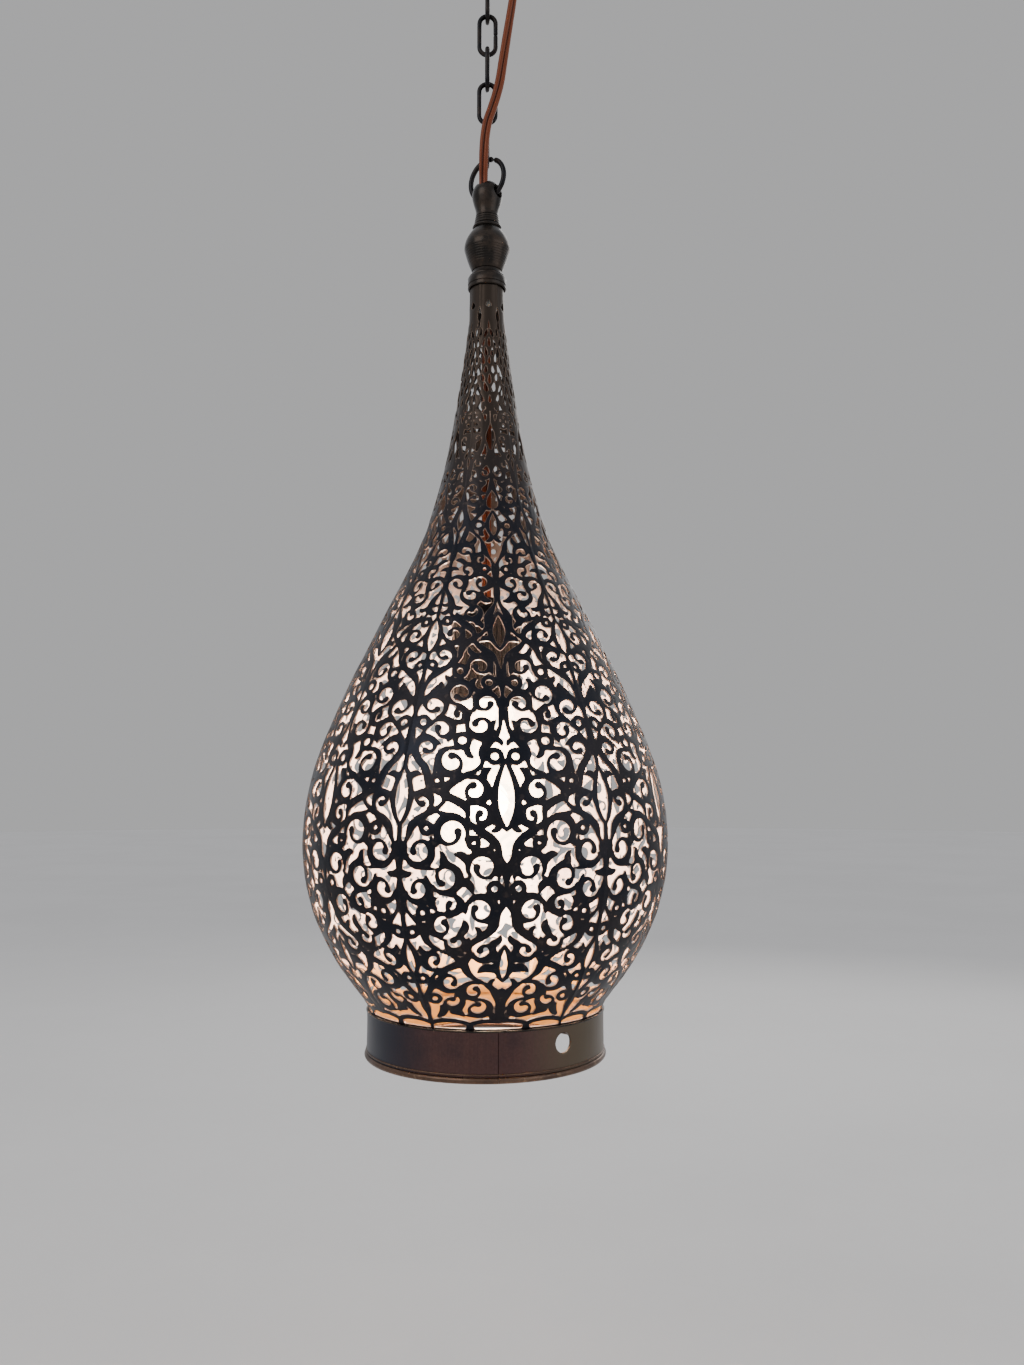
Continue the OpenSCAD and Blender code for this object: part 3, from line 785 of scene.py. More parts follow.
@dataclass(frozen=True)
class Brushed(Surface):
    """Lacquered band that is brushed upright, with painted shade towards one side and painted light towards
    the other.

    Attributes:
        name: Name of the material.
        tone: Main colour.
        second: Colour between the brushed lines.
        left: Painted shade towards negative x, darker and bluer.
        right: Painted light towards positive x, lighter and warmer.
        rough: Mean roughness.
        scale: Scale of the lines.
    """

    name: str
    tone: tuple
    second: tuple
    left: tuple
    right: tuple
    rough: float = 0.34
    scale: float = 1400.0

    def write(self, t: Tree, shader: bpy.types.Node, output: bpy.types.Node) -> None:
        """Writes the material's nodes."""
        lines = t.group(brushed_group(), {"Scale": self.scale})["Lines"]
        base = t.group(patina_group(), {
            "Tone": self.tone, "Second tone": self.second, "Speck tone": colour(0.05, 0.035, 0.03),
            "Specks": 0.35, "Blotch scale": 30.0})
        tone = t.mixed(t.mapped(lines, 0.3, 0.7, 0.0, 0.45), base["Colour"], self.second)
        # Painted shade on the band's left and painted light on its right, blended in by the object's x.
        across = t.node("ShaderNodeSeparateXYZ", {0: t.place()}).outputs["X"]
        x = t.math("ADD", across, t.about_zero(lines, 0.02))
        tone = t.mixed(t.mapped(x, -0.020, -0.050), tone, self.left)
        tone = t.mixed(t.mapped(x, 0.012, 0.045), tone, self.right)
        rough = t.math("ADD", self.rough, t.math("MULTIPLY", lines, 0.16))
        t.feed(shader, {
            "Base Color": tone, "Roughness": rough, "Normal": t.bump(lines, 0.02, 0.5), "Metallic": 0.9,
            "Coat Weight": 0.25, "Coat Roughness": 0.25})


@dataclass(frozen=True)
class FlexCover(Surface):
    """Clear amber cover over two copper cores.

    Attributes:
        name: Name of the material.
        copper: Colour where a core shows.
        cover: Colour beside the cores.
    """

    name: str = "amber flex cover"
    copper: tuple = colour(0.19, 0.044, 0.014)
    cover: tuple = colour(0.032, 0.008, 0.005)

    def write(self, t: Tree, shader: bpy.types.Node, output: bpy.types.Node) -> None:
        """Writes the material's nodes."""
        twin = t.group(strand_group(), {})
        share = t.math("MULTIPLY", twin["Core"], t.mapped(twin["Strands"], 0.0, 1.0, 0.45, 1.0))
        t.feed(shader, {
            "Base Color": t.mixed(share, self.cover, self.copper), "Metallic": t.math("MULTIPLY", share, 0.4),
            "Roughness": t.mapped(share, 0.0, 1.0, 0.34, 0.42), "Normal": t.bump(twin["Strands"], 0.05, 0.4),
            "Specular IOR Level": 0.25, "Coat Weight": 0.08, "Coat Roughness": 0.15})


@dataclass(frozen=True)
class ClearGlass(Surface):
    """Thin clear glass that lets lamp light through to what is round it.

    Attributes:
        name: Name of the material.
    """

    name: str = "bulb glass"

    def write(self, t: Tree, shader: bpy.types.Node, output: bpy.types.Node) -> None:
        """Writes the material's nodes."""
        t.feed(shader, {
            "Roughness": t.mapped(t.noise(t.place(), 60.0, 3), 0.4, 0.7, 0.02, 0.09),
            "Base Color": colour(1.0, 0.96, 0.9), "Transmission Weight": 1.0, "IOR": 1.45,
            "Emission Color": colour(1.0, 0.80, 0.58), "Emission Strength": 2.2})
        path = t.node("ShaderNodeLightPath").outputs
        clear = t.node("ShaderNodeBsdfTransparent", {0: colour(1.0, 0.97, 0.93)})
        share = t.math("MAXIMUM", path["Is Shadow Ray"], path["Is Diffuse Ray"])
        mix = t.node("ShaderNodeMixShader", {0: share, 1: shader.outputs[0], 2: clear.outputs[0]})
        t.feed(output, {"Surface": mix.outputs[0]})


@dataclass(frozen=True)
class Glow(Surface):
    """Surface that gives off light, a little uneven along its length.

    Attributes:
        name: Name of the material.
        tone: Colour of the light.
        strength: Strength of the light.
    """

    name: str
    tone: tuple
    strength: float

    def write(self, t: Tree, shader: bpy.types.Node, output: bpy.types.Node) -> None:
        """Writes the material's nodes."""
        heat = t.mapped(t.noise(t.place(), 120.0, 2), 0.3, 0.7, 0.75, 1.0)
        t.feed(shader, {
            "Emission Color": t.mixed(heat, colour(1.0, 0.35, 0.1), self.tone),
            "Emission Strength": self.strength, "Base Color": self.tone})


class Finish(Enum):
    """The finishes of the lantern's pieces."""

    # The body's tone is dark patina with a painted bluish cast that stands for lens flare.
    SHELL = Patina("dark patina on the body", colour(0.012, 0.014, 0.021), colour(0.024, 0.021, 0.024),
                   bare=colour(0.30, 0.21, 0.16), metallic=0.85, rough=0.40, specks=0.08, blotch=38.0,
                   bump=0.03, rubbed=0.13, dust=0.04, zones=((-0.40, -0.30, colour(0.042, 0.031, 0.024)),))
    INSIDE = Patina("light brass inside the body", colour(0.82, 0.67, 0.61), colour(0.64, 0.49, 0.43),
                    bare=colour(0.34, 0.23, 0.17), metallic=0.25, rough=0.50, specks=0.2, blotch=30.0,
                    # Painted shade: the inside turns dark above the lampholder, where the holder blocks the
                    # bulb's light.
                    zones=((-0.445, -0.375, colour(0.090, 0.075, 0.068)),
                           # Painted light: an orange lamp glow on the inside at the foot.
                           (-0.588, -0.607, colour(0.54, 0.26, 0.055))))
    EDGE = Patina("cut edges of the brass", colour(0.27, 0.23, 0.21), colour(0.10, 0.082, 0.075),
                  bare=colour(0.04, 0.034, 0.03), metallic=0.9, rough=0.36, specks=0.3, blotch=90.0,
                  # Painted shade: the cut edges turn dark in the neck, where the lampholder shades them from
                  # the bulb.
                  zones=((-0.40, -0.33, colour(0.070, 0.052, 0.042)),))
    FINIAL = Patina("turned bronze", colour(0.020, 0.017, 0.015), colour(0.046, 0.033, 0.025),
                    bare=colour(0.20, 0.14, 0.10), metallic=0.9, rough=0.33, specks=0.08, blotch=120.0,
                    bump=0.012, dust=0.03, coat=0.12)
    CHAIN = Patina("plated chain wire", colour(0.014, 0.014, 0.016), colour(0.032, 0.026, 0.024),
                   bare=colour(0.16, 0.11, 0.085), metallic=0.9, rough=0.34, specks=0.15, blotch=150.0,
                   dust=0.03)
    CANOPY = Patina("bronze lacquer", colour(0.050, 0.038, 0.034), colour(0.085, 0.060, 0.046),
                    metallic=0.85, rough=0.36, specks=0.1, blotch=30.0, dust=0.1, coat=0.4)
    # The band's last two colours are painted shade for its left side and painted light for its right.
    BAND = Brushed("brushed band", colour(0.095, 0.045, 0.040), colour(0.052, 0.030, 0.032),
                   colour(0.024, 0.026, 0.040), colour(0.105, 0.078, 0.050))
    BAND_EDGE = Patina("bronze roll of the band", colour(0.15, 0.092, 0.064), colour(0.090, 0.058, 0.044),
                       metallic=0.95, rough=0.34, specks=0.2, blotch=80.0)
    ZINC = Patina("zinc plating", colour(0.60, 0.60, 0.62), colour(0.50, 0.51, 0.55),
                  bare=colour(0.35, 0.33, 0.30), rough=0.38, specks=0.15, blotch=90.0)
    BRASS = Patina("plain brass", colour(0.70, 0.50, 0.24), colour(0.55, 0.37, 0.17),
                   bare=colour(0.22, 0.14, 0.07), rough=0.32, specks=0.2, blotch=80.0)
    BAKELITE = Patina("black moulding", colour(0.006, 0.006, 0.007), colour(0.010, 0.010, 0.011),
                      bare=colour(0.025, 0.024, 0.024), metallic=0.0, rough=0.36, specks=0.06, blotch=60.0,
                      bump=0.01, gloss=0.10)
    NYLON = Patina("white nylon", colour(0.80, 0.79, 0.74), colour(0.74, 0.72, 0.66),
                   bare=colour(0.55, 0.50, 0.42), metallic=0.0, rough=0.5, specks=0.1, blotch=70.0)
    CERAMIC = Patina("lamp ceramic", colour(0.78, 0.75, 0.68), colour(0.70, 0.66, 0.58),
                     bare=colour(0.45, 0.38, 0.30), metallic=0.0, rough=0.62, specks=0.2, blotch=90.0)
    CAP_METAL = Patina("rolled cap metal", colour(0.66, 0.66, 0.65), colour(0.52, 0.52, 0.53),
                       bare=colour(0.30, 0.28, 0.26), rough=0.34, specks=0.2, blotch=90.0)
    BLACK_GLASS = Patina("black glass", colour(0.012, 0.012, 0.018), colour(0.02, 0.02, 0.03),
                         bare=colour(0.04, 0.04, 0.05), metallic=0.0, rough=0.14, specks=0.1, coat=0.6)
    FLEX = FlexCover()
    GLASS = ClearGlass()
    FILAMENT = Glow("hot filament", colour(1.0, 0.72, 0.42), 150.0)

    def material(self) -> bpy.types.Material:
        """The finish's material."""
        return self.value.material()


def piece(name: str, shell: Shell, finish: Finish | Sequence[Finish], body: Body, slot: str,
          *nodes: str) -> None:
    """Builds a piece and puts it on its body.

    Args:
        name: The piece's name.
        shell: Its points and faces, in millimetres.
        finish: Its finish, or one for each of the shell's finish numbers.
        body: The body that it rides on.
        slot: Its material slot in the frame; not used.
        nodes: CAD nodes that it stands for.
    """
    finishes = [finish] if isinstance(finish, Finish) else finish
    obj = build(name, shell, [f.material() for f in finishes])
    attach(obj, body.value)
    name_slot(obj, slot, *nodes)


# ---------------------------------------------------------------- flex


@dataclass
class Flex:
    """The free twin flex beside the chain, in one length for each joint that it crosses.

    Attributes:
        width: Width of the flat flex.
        thickness: Its thickness.
        route: x, y, z and the turn of the flat side about the vertical, in degrees.
    """

    width: float = 5.0
    thickness: float = 2.6
    route: tuple = (
        (19, -14, -32, 90), (19, -14, -40, 90), (18.6, -13.6, -50, 85), (18, -13, -60, 80),
        (17, -12, -70, 70), (16, -11, -80, 60), (14.5, -10, -90, 55), (13, -9, -100, 50),
        (11.4, -8.2, -110, 45), (9.8, -7.6, -120, 35), (8.3, -7.2, -130, 25), (6.8, -7, -140, 15),
        (5, -7.1, -148, 5), (2.6, -7.2, -156, 0), (0.3, -7.2, -163, 0), (-1, -7.2, -171, -5),
        (-1.6, -7, -179, -15), (-1.8, -5.4, -186, -25), (-1.9, -3.6, -192, -35),
        (-1.9, -2.7, -199, -35), (-1.5, -2.1, -205, -35), (-0.7, -1, -211, -35), (0, 0, -217, -35))

    def length_of(self, first: int, last: int) -> tuple[Array, Array]:
        """Centre line and flat directions of the route from one of its points to another."""
        steps = 10
        whole = through(self.route, steps)[first * steps : last * steps + 1]
        turn = np.radians(whole[:, 3])
        return whole[:, :3], about(1.0, turn, 0.0)

    def lengths(self) -> None:
        """Builds the four lengths, each from one of the route's points to another."""
        joints = (
            ("flex_upper", 0, 6, Body.CEILING, Body.UPPER_CHAIN, -36, -72),
            ("flex_middle", 6, 10, Body.UPPER_CHAIN, Body.LOWER_CHAIN, -92, -124),
            ("flex_lower", 10, 16, Body.LOWER_CHAIN, Body.RING, -150, -179),
            ("flex_entry", 16, 22, Body.RING, Body.LANTERN, -181, -206))
        for node, first, last, above, below, start, end in joints:
            path, flat = self.length_of(first, last)
            shell = carried(path, twin_section(self.width, self.thickness), flat)
            obj = build(node + "_twin", shell, [Finish.FLEX.material()])
            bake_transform(obj)
            run = float(np.linalg.norm(np.diff(path, axis=0), axis=1).sum()) * MM
            [tuple(p) for p in path * MM]
            name_slot(obj, "flex_copper", node)

    def straight(self, name: str, node: str, body: Body, turn: float) -> None:
        """Builds an upright stretch of the flex over a CAD node's height."""
        x, y, _ = middle(node)
        z = np.linspace(top_of(node), foot_of(node), 40)
        path = np.stack(np.broadcast_arrays(x, y, z), axis=-1)
        flat = about(1.0, math.radians(turn), 0.0)
        shell = carried(path, twin_section(self.width - 0.05, self.thickness - 0.05), flat)
        piece(name, shell, Finish.FLEX, body, "flex_copper", node)

    def build(self) -> None:
        """Builds the whole flex."""
        self.lengths()
        self.straight("inner_flex_twin", "inner_flex", Body.HOLDER, 0)
        self.straight("tube_flex_twin", "tube_flex", Body.LANTERN, RING_TURN)
        self.straight("canopy_flex_twin", "canopy_flex", Body.CEILING, 90)


# ---------------------------------------------------------------- pierced body


@dataclass
class Outline:
    """The body's outline, with distance measured along the sheet from the neck's top.

    Attributes:
        points: Drop below the neck's top and radius, from the neck to the foot.
        steps: Straight steps between two of them.
    """

    points: tuple = (
        (0, 8.6), (24, 9.2), (60, 14), (100, 21), (140, 32.8), (180, 52.2), (220, 71.4), (258, 85.8),
        (291, 89.8), (320, 85.2), (345, 73.8), (364, 60.2), (370, 57), (374, 56.8))
    steps: int = 40

    def __post_init__(self) -> None:
        """Works out the curve and the distance along it."""
        curve = through(self.points, self.steps)
        self.drop, self.radius = curve[:, 0], curve[:, 1]
        self.run = np.concatenate([[0], np.cumsum(np.hypot(np.diff(self.drop), np.diff(self.radius)))])

    def at_drop(self, drop: float) -> float:
        """Distance along the sheet of a drop."""
        return float(np.interp(drop, self.drop, self.run))

    def half(self, run: Array) -> Array:
        """Half the width of a gore, radius times half a gore's angle."""
        return np.interp(run, self.run, self.radius) * HALF_GORE


# Half widths of a gore at which the pattern's sizes are given, and a depth that is far from any metal.
HALF_WIDTHS = (5, 11, 25, 47)
FAR = 9.0


class Edge(Enum):
    """The two lines that a gore's pattern is mirrored in."""

    MIDDLE = 0
    SEAM = 1


@dataclass
class Scrollwork:
    """Pattern of scrolls for half a gore, mirrored in the gore's middle and in its seam.

    Places are x, the distance from the gore's middle, and y, the distance along the sheet, both on
    the flattened gore in millimetres. A stroke is a row of points with half widths, and metal is
    where log(sum(exp((half width - distance) / soft))) of all strokes is above 0, so that crossing
    strokes melt into each other.

    Attributes:
        outline: The body's outline.
        seed: Seed of the random sizes.
        stroke_sizes: Usual widths of a stroke at the half widths of a gore in HALF_WIDTHS.
        free_from: Radius there of the smallest free circle that gets a motif.
        free_to: Radius there of the largest circle of a motif.
        scroll_size: Radius there from which a motif is a scroll.
        ring_size: Radius there from which it may be a ring.
        seam_strip: Half width there of the strip of metal along the seam.
        soft: How far strokes melt into each other.
        scroll_from: Drop at which scrolls take over from the plain neck's slits.
        foot_at: Drop of the scrolls' lower end.
        slots_to: Drop of the foot slots' lower end.
    """

    outline: Outline
    seed: int = 11
    stroke_sizes: tuple = (1.1, 1.5, 2.05, 2.4)
    free_from: tuple = (0.9, 1.3, 1.75, 2.1)
    free_to: tuple = (1.8, 3.2, 5.4, 7.4)
    scroll_size: tuple = (1.9, 2.7, 3.7, 4.3)
    ring_size: tuple = (1.4, 1.9, 2.6, 3.1)
    seam_strip: tuple = (0.5, 0.7, 1.0, 1.25)
    soft: float = 0.4
    scroll_from: float = 73.0
    foot_at: float = 365.1
    slots_to: float = 369.4
    strokes: list[Array] = field(default_factory=list)
    slits: list[tuple] = field(default_factory=list)
    seam_lenses: list[tuple] = field(default_factory=list)

    def by_width(self, y, values: Sequence[float]):
        """A size that follows the gore's half width, from its values at HALF_WIDTHS."""
        return np.interp(self.outline.half(y), HALF_WIDTHS, values)

    def stroke(self, y):
        """Usual width of a stroke."""
        return self.by_width(y, self.stroke_sizes)

    def vine(self, points: Sequence[tuple], thick: float, swell: float) -> None:
        """A long stem through points, each a share of the half width and a drop.

        It wanders a little between the middle and the seam. Its half width is half the usual stroke
        times thick + swell * sin(pi t)^2 between points.
        """
        steps = 10
        p = np.array(points, float)
        p[:, 1] = np.interp(p[:, 1], self.outline.drop, self.outline.run)
        q = through(p, steps)
        calm = np.clip(4 * q[:, 0] * (1 - q[:, 0]), 0, 1)
        q[:, 0] += 0.07 * calm * np.sin(2 * np.pi * q[:, 1] / 17)
        t = np.arange(len(q)) / steps
        half = self.stroke(q[:, 1]) / 2 * (thick + swell * np.sin(np.pi * t) ** 2)
        self.strokes.append(np.stack([q[:, 0] * self.outline.half(q[:, 1]), q[:, 1], half], axis=1))

    def lens(self, edge: Edge, drop: float, length: float, width: float) -> None:
        """A pointed leaf round an opening on the gore's middle or seam, as its one half.

        Its distance from the line is width * sin(pi t)^0.85, fuller towards the foot.
        """
        y = self.outline.at_drop(drop)
        t = np.linspace(0, 1, 26)
        along = y + length * (t - 0.5)
        off = width * np.sin(np.pi * t) ** 0.85 * (1 + 0.35 * (t - 0.5))
        x = off if edge is Edge.MIDDLE else self.outline.half(along) - off
        half = self.stroke(along) / 2 * (0.7 + 0.5 * np.sin(np.pi * t))
        self.strokes.append(np.stack([x, along, half], axis=1))
        if edge is Edge.SEAM:
            self.seam_lenses.append((y, length))

    def nearest(self, x: float, y: float) -> tuple[float, float, float, float]:
        """Gap to the nearest stroke or its mirror image, with that stroke point and its half width."""
        p = np.vstack(self.strokes)
        w = self.outline.half(p[:, 1])
        across = np.stack([p[:, 0], -p[:, 0], 2 * w - p[:, 0]])
        gap = np.hypot(across - x, p[:, 1] - y) - p[:, 2]
        row, k = np.unravel_index(int(np.argmin(gap)), gap.shape)
        return float(gap[row, k]), float(across[row, k]), float(p[k, 1]), float(p[k, 2])

    def spots(self, rng: np.random.Generator) -> list[tuple[float, float, float]]:
        """Centres and radii of the motifs: again and again the largest free circle, up to a size limit."""
        top, foot = self.outline.at_drop(self.scroll_from - 2), self.outline.at_drop(self.foot_at)
        step = 0.6
        x, y = np.meshgrid(np.arange(step / 2, HALF_WIDTHS[-1] + 0.5, step), np.arange(top, foot, step))
        w = self.outline.half(y)
        x, y, w = x[x < w], y[x < w], w[x < w]
        slope = np.interp(y, self.outline.run, np.gradient(self.outline.radius, self.outline.run)) * HALF_GORE
        free = np.minimum.reduce([x, (w - x) / np.hypot(1, slope), y - top, foot - y])
        for px, py, half in np.vstack(self.strokes):
            free = np.minimum(free, np.hypot(x - px, y - py) - half)
        least = self.by_width(y, self.free_from)
        found = []
        while True:
            k = int(np.argmax(free - least))
            if free[k] < least[k]:
                return found
            r = min(free[k], float(self.by_width(y[k], self.free_to)) * rng.uniform(0.78, 1.0))
            x0, y0 = x[k], y[k]
            touching = np.abs(free - r) < 0.3
            if free[k] > r and touching.any():
                near = int(np.argmin(np.where(touching, np.hypot(x - x0, y - y0), np.inf)))
                x0, y0, r = x[near], y[near], free[near]
            found.append((float(x0), float(y0), float(r)))
            free = np.minimum(free, np.hypot(x - x0, y - y0) - r)

    def scroll(self, x: float, y: float, r: float, start: Array, angle: float, way: int) -> None:
        """A crescent along the circle's rim that thins, curls in and ends in a drop, with a thorn outside."""
        wide = float(self.stroke(y))
        turn = math.radians(float(np.interp(r / wide, [1.6, 3.0], [285, 385])))
        t = np.linspace(0, 1, 46)
        full = np.sin(np.pi * np.clip(t / 0.78, 0, 1)) ** 1.3
        drop = np.clip((t - 0.70) / 0.30, 0, 1) ** 2
        half = np.minimum(wide / 2 * (0.66 + 0.95 * full + 0.45 * drop), 0.44 * r)
        rho = (r + 0.18 * wide - half) * (1 - 0.55 * np.clip((t - 0.48) / 0.52, 0, 1) ** 1.25)
        phi = angle + way * turn * t
        q = np.stack([x + rho * np.cos(phi), y + rho * np.sin(phi), half], axis=1)
        self.strokes.append(np.vstack([np.linspace(start, q[0], 5), q]))
        self.strokes.append(np.array([[q[-1, 0], q[-1, 1], max(0.20 * r, 0.56 * wide)]]))
        for k, reach in ((15, 0.72), (27, 0.50)):
            out = phi[k] + way * 0.75
            s = np.linspace(0, 1, 8)
            bend = out + way * 0.7 * s
            px = q[k, 0] + np.cumsum(np.cos(bend)) * (half[k] + reach * r) / 8
            py = q[k, 1] + np.cumsum(np.sin(bend)) * (half[k] + reach * r) / 8
            self.strokes.append(np.stack([px, py, 0.5 * wide * (1 - s) ** 0.8 + 0.12], axis=1))

    def ring(self, x: float, y: float, r: float, start: Array, angle: float) -> None:
        """A thick ring with a round hole."""
        wide = float(self.stroke(y))
        phi = angle + np.linspace(0, 2 * np.pi, 30)
        half = max(0.5 * wide, 0.19 * r)
        rho = r + 0.05 * wide - half
        q = np.stack([x + rho * np.cos(phi), y + rho * np.sin(phi), np.full(30, half)], axis=1)
        self.strokes.append(np.vstack([np.linspace(start, q[0], 3), q]))

    def leaf(self, x: float, y: float, r: float, start: Array, angle: float, way: int) -> None:
        """A bent solid leaf across the circle."""
        t = np.linspace(0, 1, 12)
        bend = way * 0.35 * r * np.sin(np.pi * t)
        ux, uy = -math.cos(angle), -math.sin(angle)
        along = r * (1.75 * t - 1.05)
        half = 0.52 * r * np.sin(np.pi * np.clip(0.25 + 0.72 * t, 0, 1)) ** 0.8 + 0.1
        q = np.stack([x + ux * along - uy * bend, y + uy * along + ux * bend, half], axis=1)
        self.strokes.append(np.vstack([np.linspace(start, q[0], 3), q]))

    def fill(self, rng: np.random.Generator) -> None:
        """Puts a motif in each free circle, the nearest to the metal first, each grown from that metal."""
        todo = self.spots(rng)
        way = 1
        while todo:
            gaps = [self.nearest(x, y)[0] - r for x, y, r in todo]
            x, y, r = todo.pop(int(np.argmin(gaps)))
            _, nx, ny, half = self.nearest(x, y)
            start = np.array([nx, ny, min(half, float(self.stroke(y)) / 2)])
            angle = math.atan2(ny - y, nx - x)
            way = -way
            round_hole = rng.uniform() < 0.06 and r < float(self.by_width(y, [3, 4, 5.4, 6.4]))
            if r >= float(self.by_width(y, self.scroll_size)) and not round_hole:
                self.scroll(x, y, r, start, angle, way)
            elif round_hole or (r >= float(self.by_width(y, self.ring_size)) and rng.uniform() < 0.5):
                self.ring(x, y, r, start, angle)
            else:
                self.leaf(x, y, r, start, angle, way)

    def neck(self, rng: np.random.Generator) -> None:
        """Drops and narrow lenses in the neck's sheet, each row set between the last."""
        outline = self.outline
        self.slits.append((0.0, outline.at_drop(16.5), 4.0, 1.35, 0.0))
        self.slits.append((float(outline.half(outline.at_drop(22))), outline.at_drop(22), 8.0, 0.95, 0.0))
        drop, row = 28.0, 0
        span = (28, 82)
        while drop < self.scroll_from - 1.5:
            y = outline.at_drop(drop)
            edge = float(outline.half(y))
            for share in ((0.0, 0.52, 1.0) if row % 2 == 0 else (0.27, 0.76)):
                on_line = share in (0.0, 1.0)
                if not on_line and rng.uniform() < 0.12:
                    continue
                length = float(np.interp(drop, span, (5.0, 7.2))) * rng.uniform(0.7, 1.2)
                wide = edge * rng.uniform(0.105, 0.165) * (0.8 if on_line else 1.0)
                tilt = 0.0 if on_line else rng.uniform(-0.3, 0.3)
                at = y + (0.0 if on_line else rng.uniform(-0.9, 0.9))
                self.slits.append((share * edge, at, length, wide, tilt))
            drop += float(np.interp(drop, span, (4.7, 6.0)))
            row += 1

    def draw(self) -> None:
        """Lays out the whole pattern."""
        rng = np.random.default_rng(self.seed)
        self.vine([(0, 364), (0.04, 356), (0.22, 346), (0.62, 333), (0.93, 316), (1, 300), (0.95, 286),
                   (0.66, 270), (0.30, 254), (0.05, 236), (0, 222), (0.06, 208), (0.34, 196), (0.70, 184),
                   (0.95, 170), (1, 158), (0.94, 148), (0.60, 136), (0.16, 122), (0, 110), (0.2, 94),
                   (0.6, 76)], 0.8, 0.9)
        self.vine([(1, 364), (0.95, 354), (0.72, 344), (0.34, 332), (0.06, 316), (0, 304), (0.05, 292),
                   (0.32, 276), (0.68, 262), (0.95, 246), (1, 232), (0.94, 218), (0.62, 206), (0.26, 192),
                   (0.04, 178), (0, 168), (0.08, 156), (0.44, 144), (0.86, 130), (1, 118), (0.8, 104),
                   (0.3, 90), (0.1, 76)], 0.8, 0.9)
        self.vine([(0, 365.5), (0, 359), (0, 350)], 1.0, 0.3)
        for drop, length, width in ((102, 10, 1.8), (137, 15, 2.8), (192, 20, 4.0), (266, 30, 4.8),
                                    (338, 18, 3.0)):
            self.lens(Edge.MIDDLE, drop, length, width)
        for drop, length, width in ((104, 10, 1.6), (134, 14, 2.4), (194, 20, 3.6), (266, 26, 4.2),
                                    (336, 18, 3.0)):
            self.lens(Edge.SEAM, drop, length, width)
        self.fill(rng)
        self.neck(rng)

    def share(self, rows: int, cols: int) -> tuple[Array, Array, Array]:
        """How deep in the metal each point of a grid over half the gore lies, in millimetres.

        Returns:
            The rows' y, the columns' share of the half width, and the depths.
        """
        y = np.linspace(0, self.outline.run[-1], rows)
        u = np.linspace(0, 1, cols)
        w = self.outline.half(y)
        gx = u[None, :] * w[:, None]
        gy = np.broadcast_to(y[:, None], gx.shape)
        step = y[1] - y[0]
        total = np.zeros(gx.shape)
        for s in self.strokes:
            if len(s) > 1:
                at = np.linspace(0, len(s) - 1, 2 * len(s))
                s = np.stack([np.interp(at, np.arange(len(s)), s[:, k]) for k in range(3)], axis=1)
            reach = s[:, 2].max() + 6.5 * self.soft
            low = max(0, int((s[:, 1].min() - reach) / step))
            high = min(rows, int((s[:, 1].max() + reach) / step) + 2)
            x, yy = gx[low:high], gy[low:high]
            depth = np.full(x.shape, -FAR)
            for (px, py, half), edge in zip(s, self.outline.half(s[:, 1])):
                up = (yy - py) ** 2
                depth = np.maximum(depth, half - np.sqrt(up + (x - px) ** 2))
                if px < reach:
                    depth = np.maximum(depth, half - np.sqrt(up + (x + px) ** 2))
                if edge - px < reach:
                    depth = np.maximum(depth, half - np.sqrt(up + (x - 2 * edge + px) ** 2))
            total[low:high] += np.exp(np.clip(depth / self.soft, -20, 40))
        f = self.soft * np.log(total + 1e-9)
        f = np.maximum(f, self.seam(gx, gy, w))
        f = self.with_neck(f, gx, gy, w, y)
        return y, u, self.rooted(self.with_foot(f, gy, u, w))

    @staticmethod
    def rooted(f: Array) -> Array:
        """Takes away metal that nothing joins to the neck's top."""
        metal = f > 0
        held = np.zeros_like(metal)
        held[0] = metal[0]
        count = 0
        while held.sum() > count:
            count = held.sum()
            for _ in range(20):
                held[1:] |= held[:-1]
                held[:-1] |= held[1:]
                held[:, 1:] |= held[:, :-1]
                held[:, :-1] |= held[:, 1:]
                held &= metal
        return np.where(metal & ~held, -0.3, f)

    def seam(self, gx: Array, gy: Array, w: Array) -> Array:
        """Depth in the strip along the soldered seam, which stops at the pointed openings on it."""
        strip = self.by_width(gy, self.seam_strip) - (w[:, None] - gx)
        for y, length in self.seam_lenses:
            strip = np.minimum(strip, np.abs(gy - y) - length / 2)
        return strip

    def with_neck(self, f: Array, gx: Array, gy: Array, w: Array, y: Array) -> Array:
        """Adds the neck's sheet with its slits, which ends in scallops over the scrolls."""
        top = self.outline.at_drop(self.scroll_from) + 2.6 * np.cos(2 * np.pi * gx / w[:, None])
        neck = top + 0.3 - gy
        step = y[1] - y[0]
        for x, at, length, half, tilt in self.slits:
            low, high = max(0, int((at - length) / step)), min(len(y), int((at + length) / step) + 2)
            t = (gy[low:high] - at) / (length / 2)
            wide = half * np.sqrt(np.clip(1 - t**2, 0, 1)) * (1 + 0.5 * t)
            edge = float(self.outline.half(at))
            for centre, sign in ((x, 1), (-x, -1), (2 * edge - x, -1)):
                off = gx[low:high] - centre * w[low:high, None] / edge - sign * tilt * (gy[low:high] - at)
                beside = (np.abs(off) - wide) * 0.9
                beyond = np.hypot(off, (np.abs(t) - 1) * length / 2)
                neck[low:high] = np.minimum(neck[low:high], np.where(np.abs(t) < 1, beside, beyond))
        both = np.maximum(f, neck)
        above = np.maximum(neck, np.where(gy > top - 1.5, f, -FAR))
        return np.where(gy > top + 2.0, both, above)

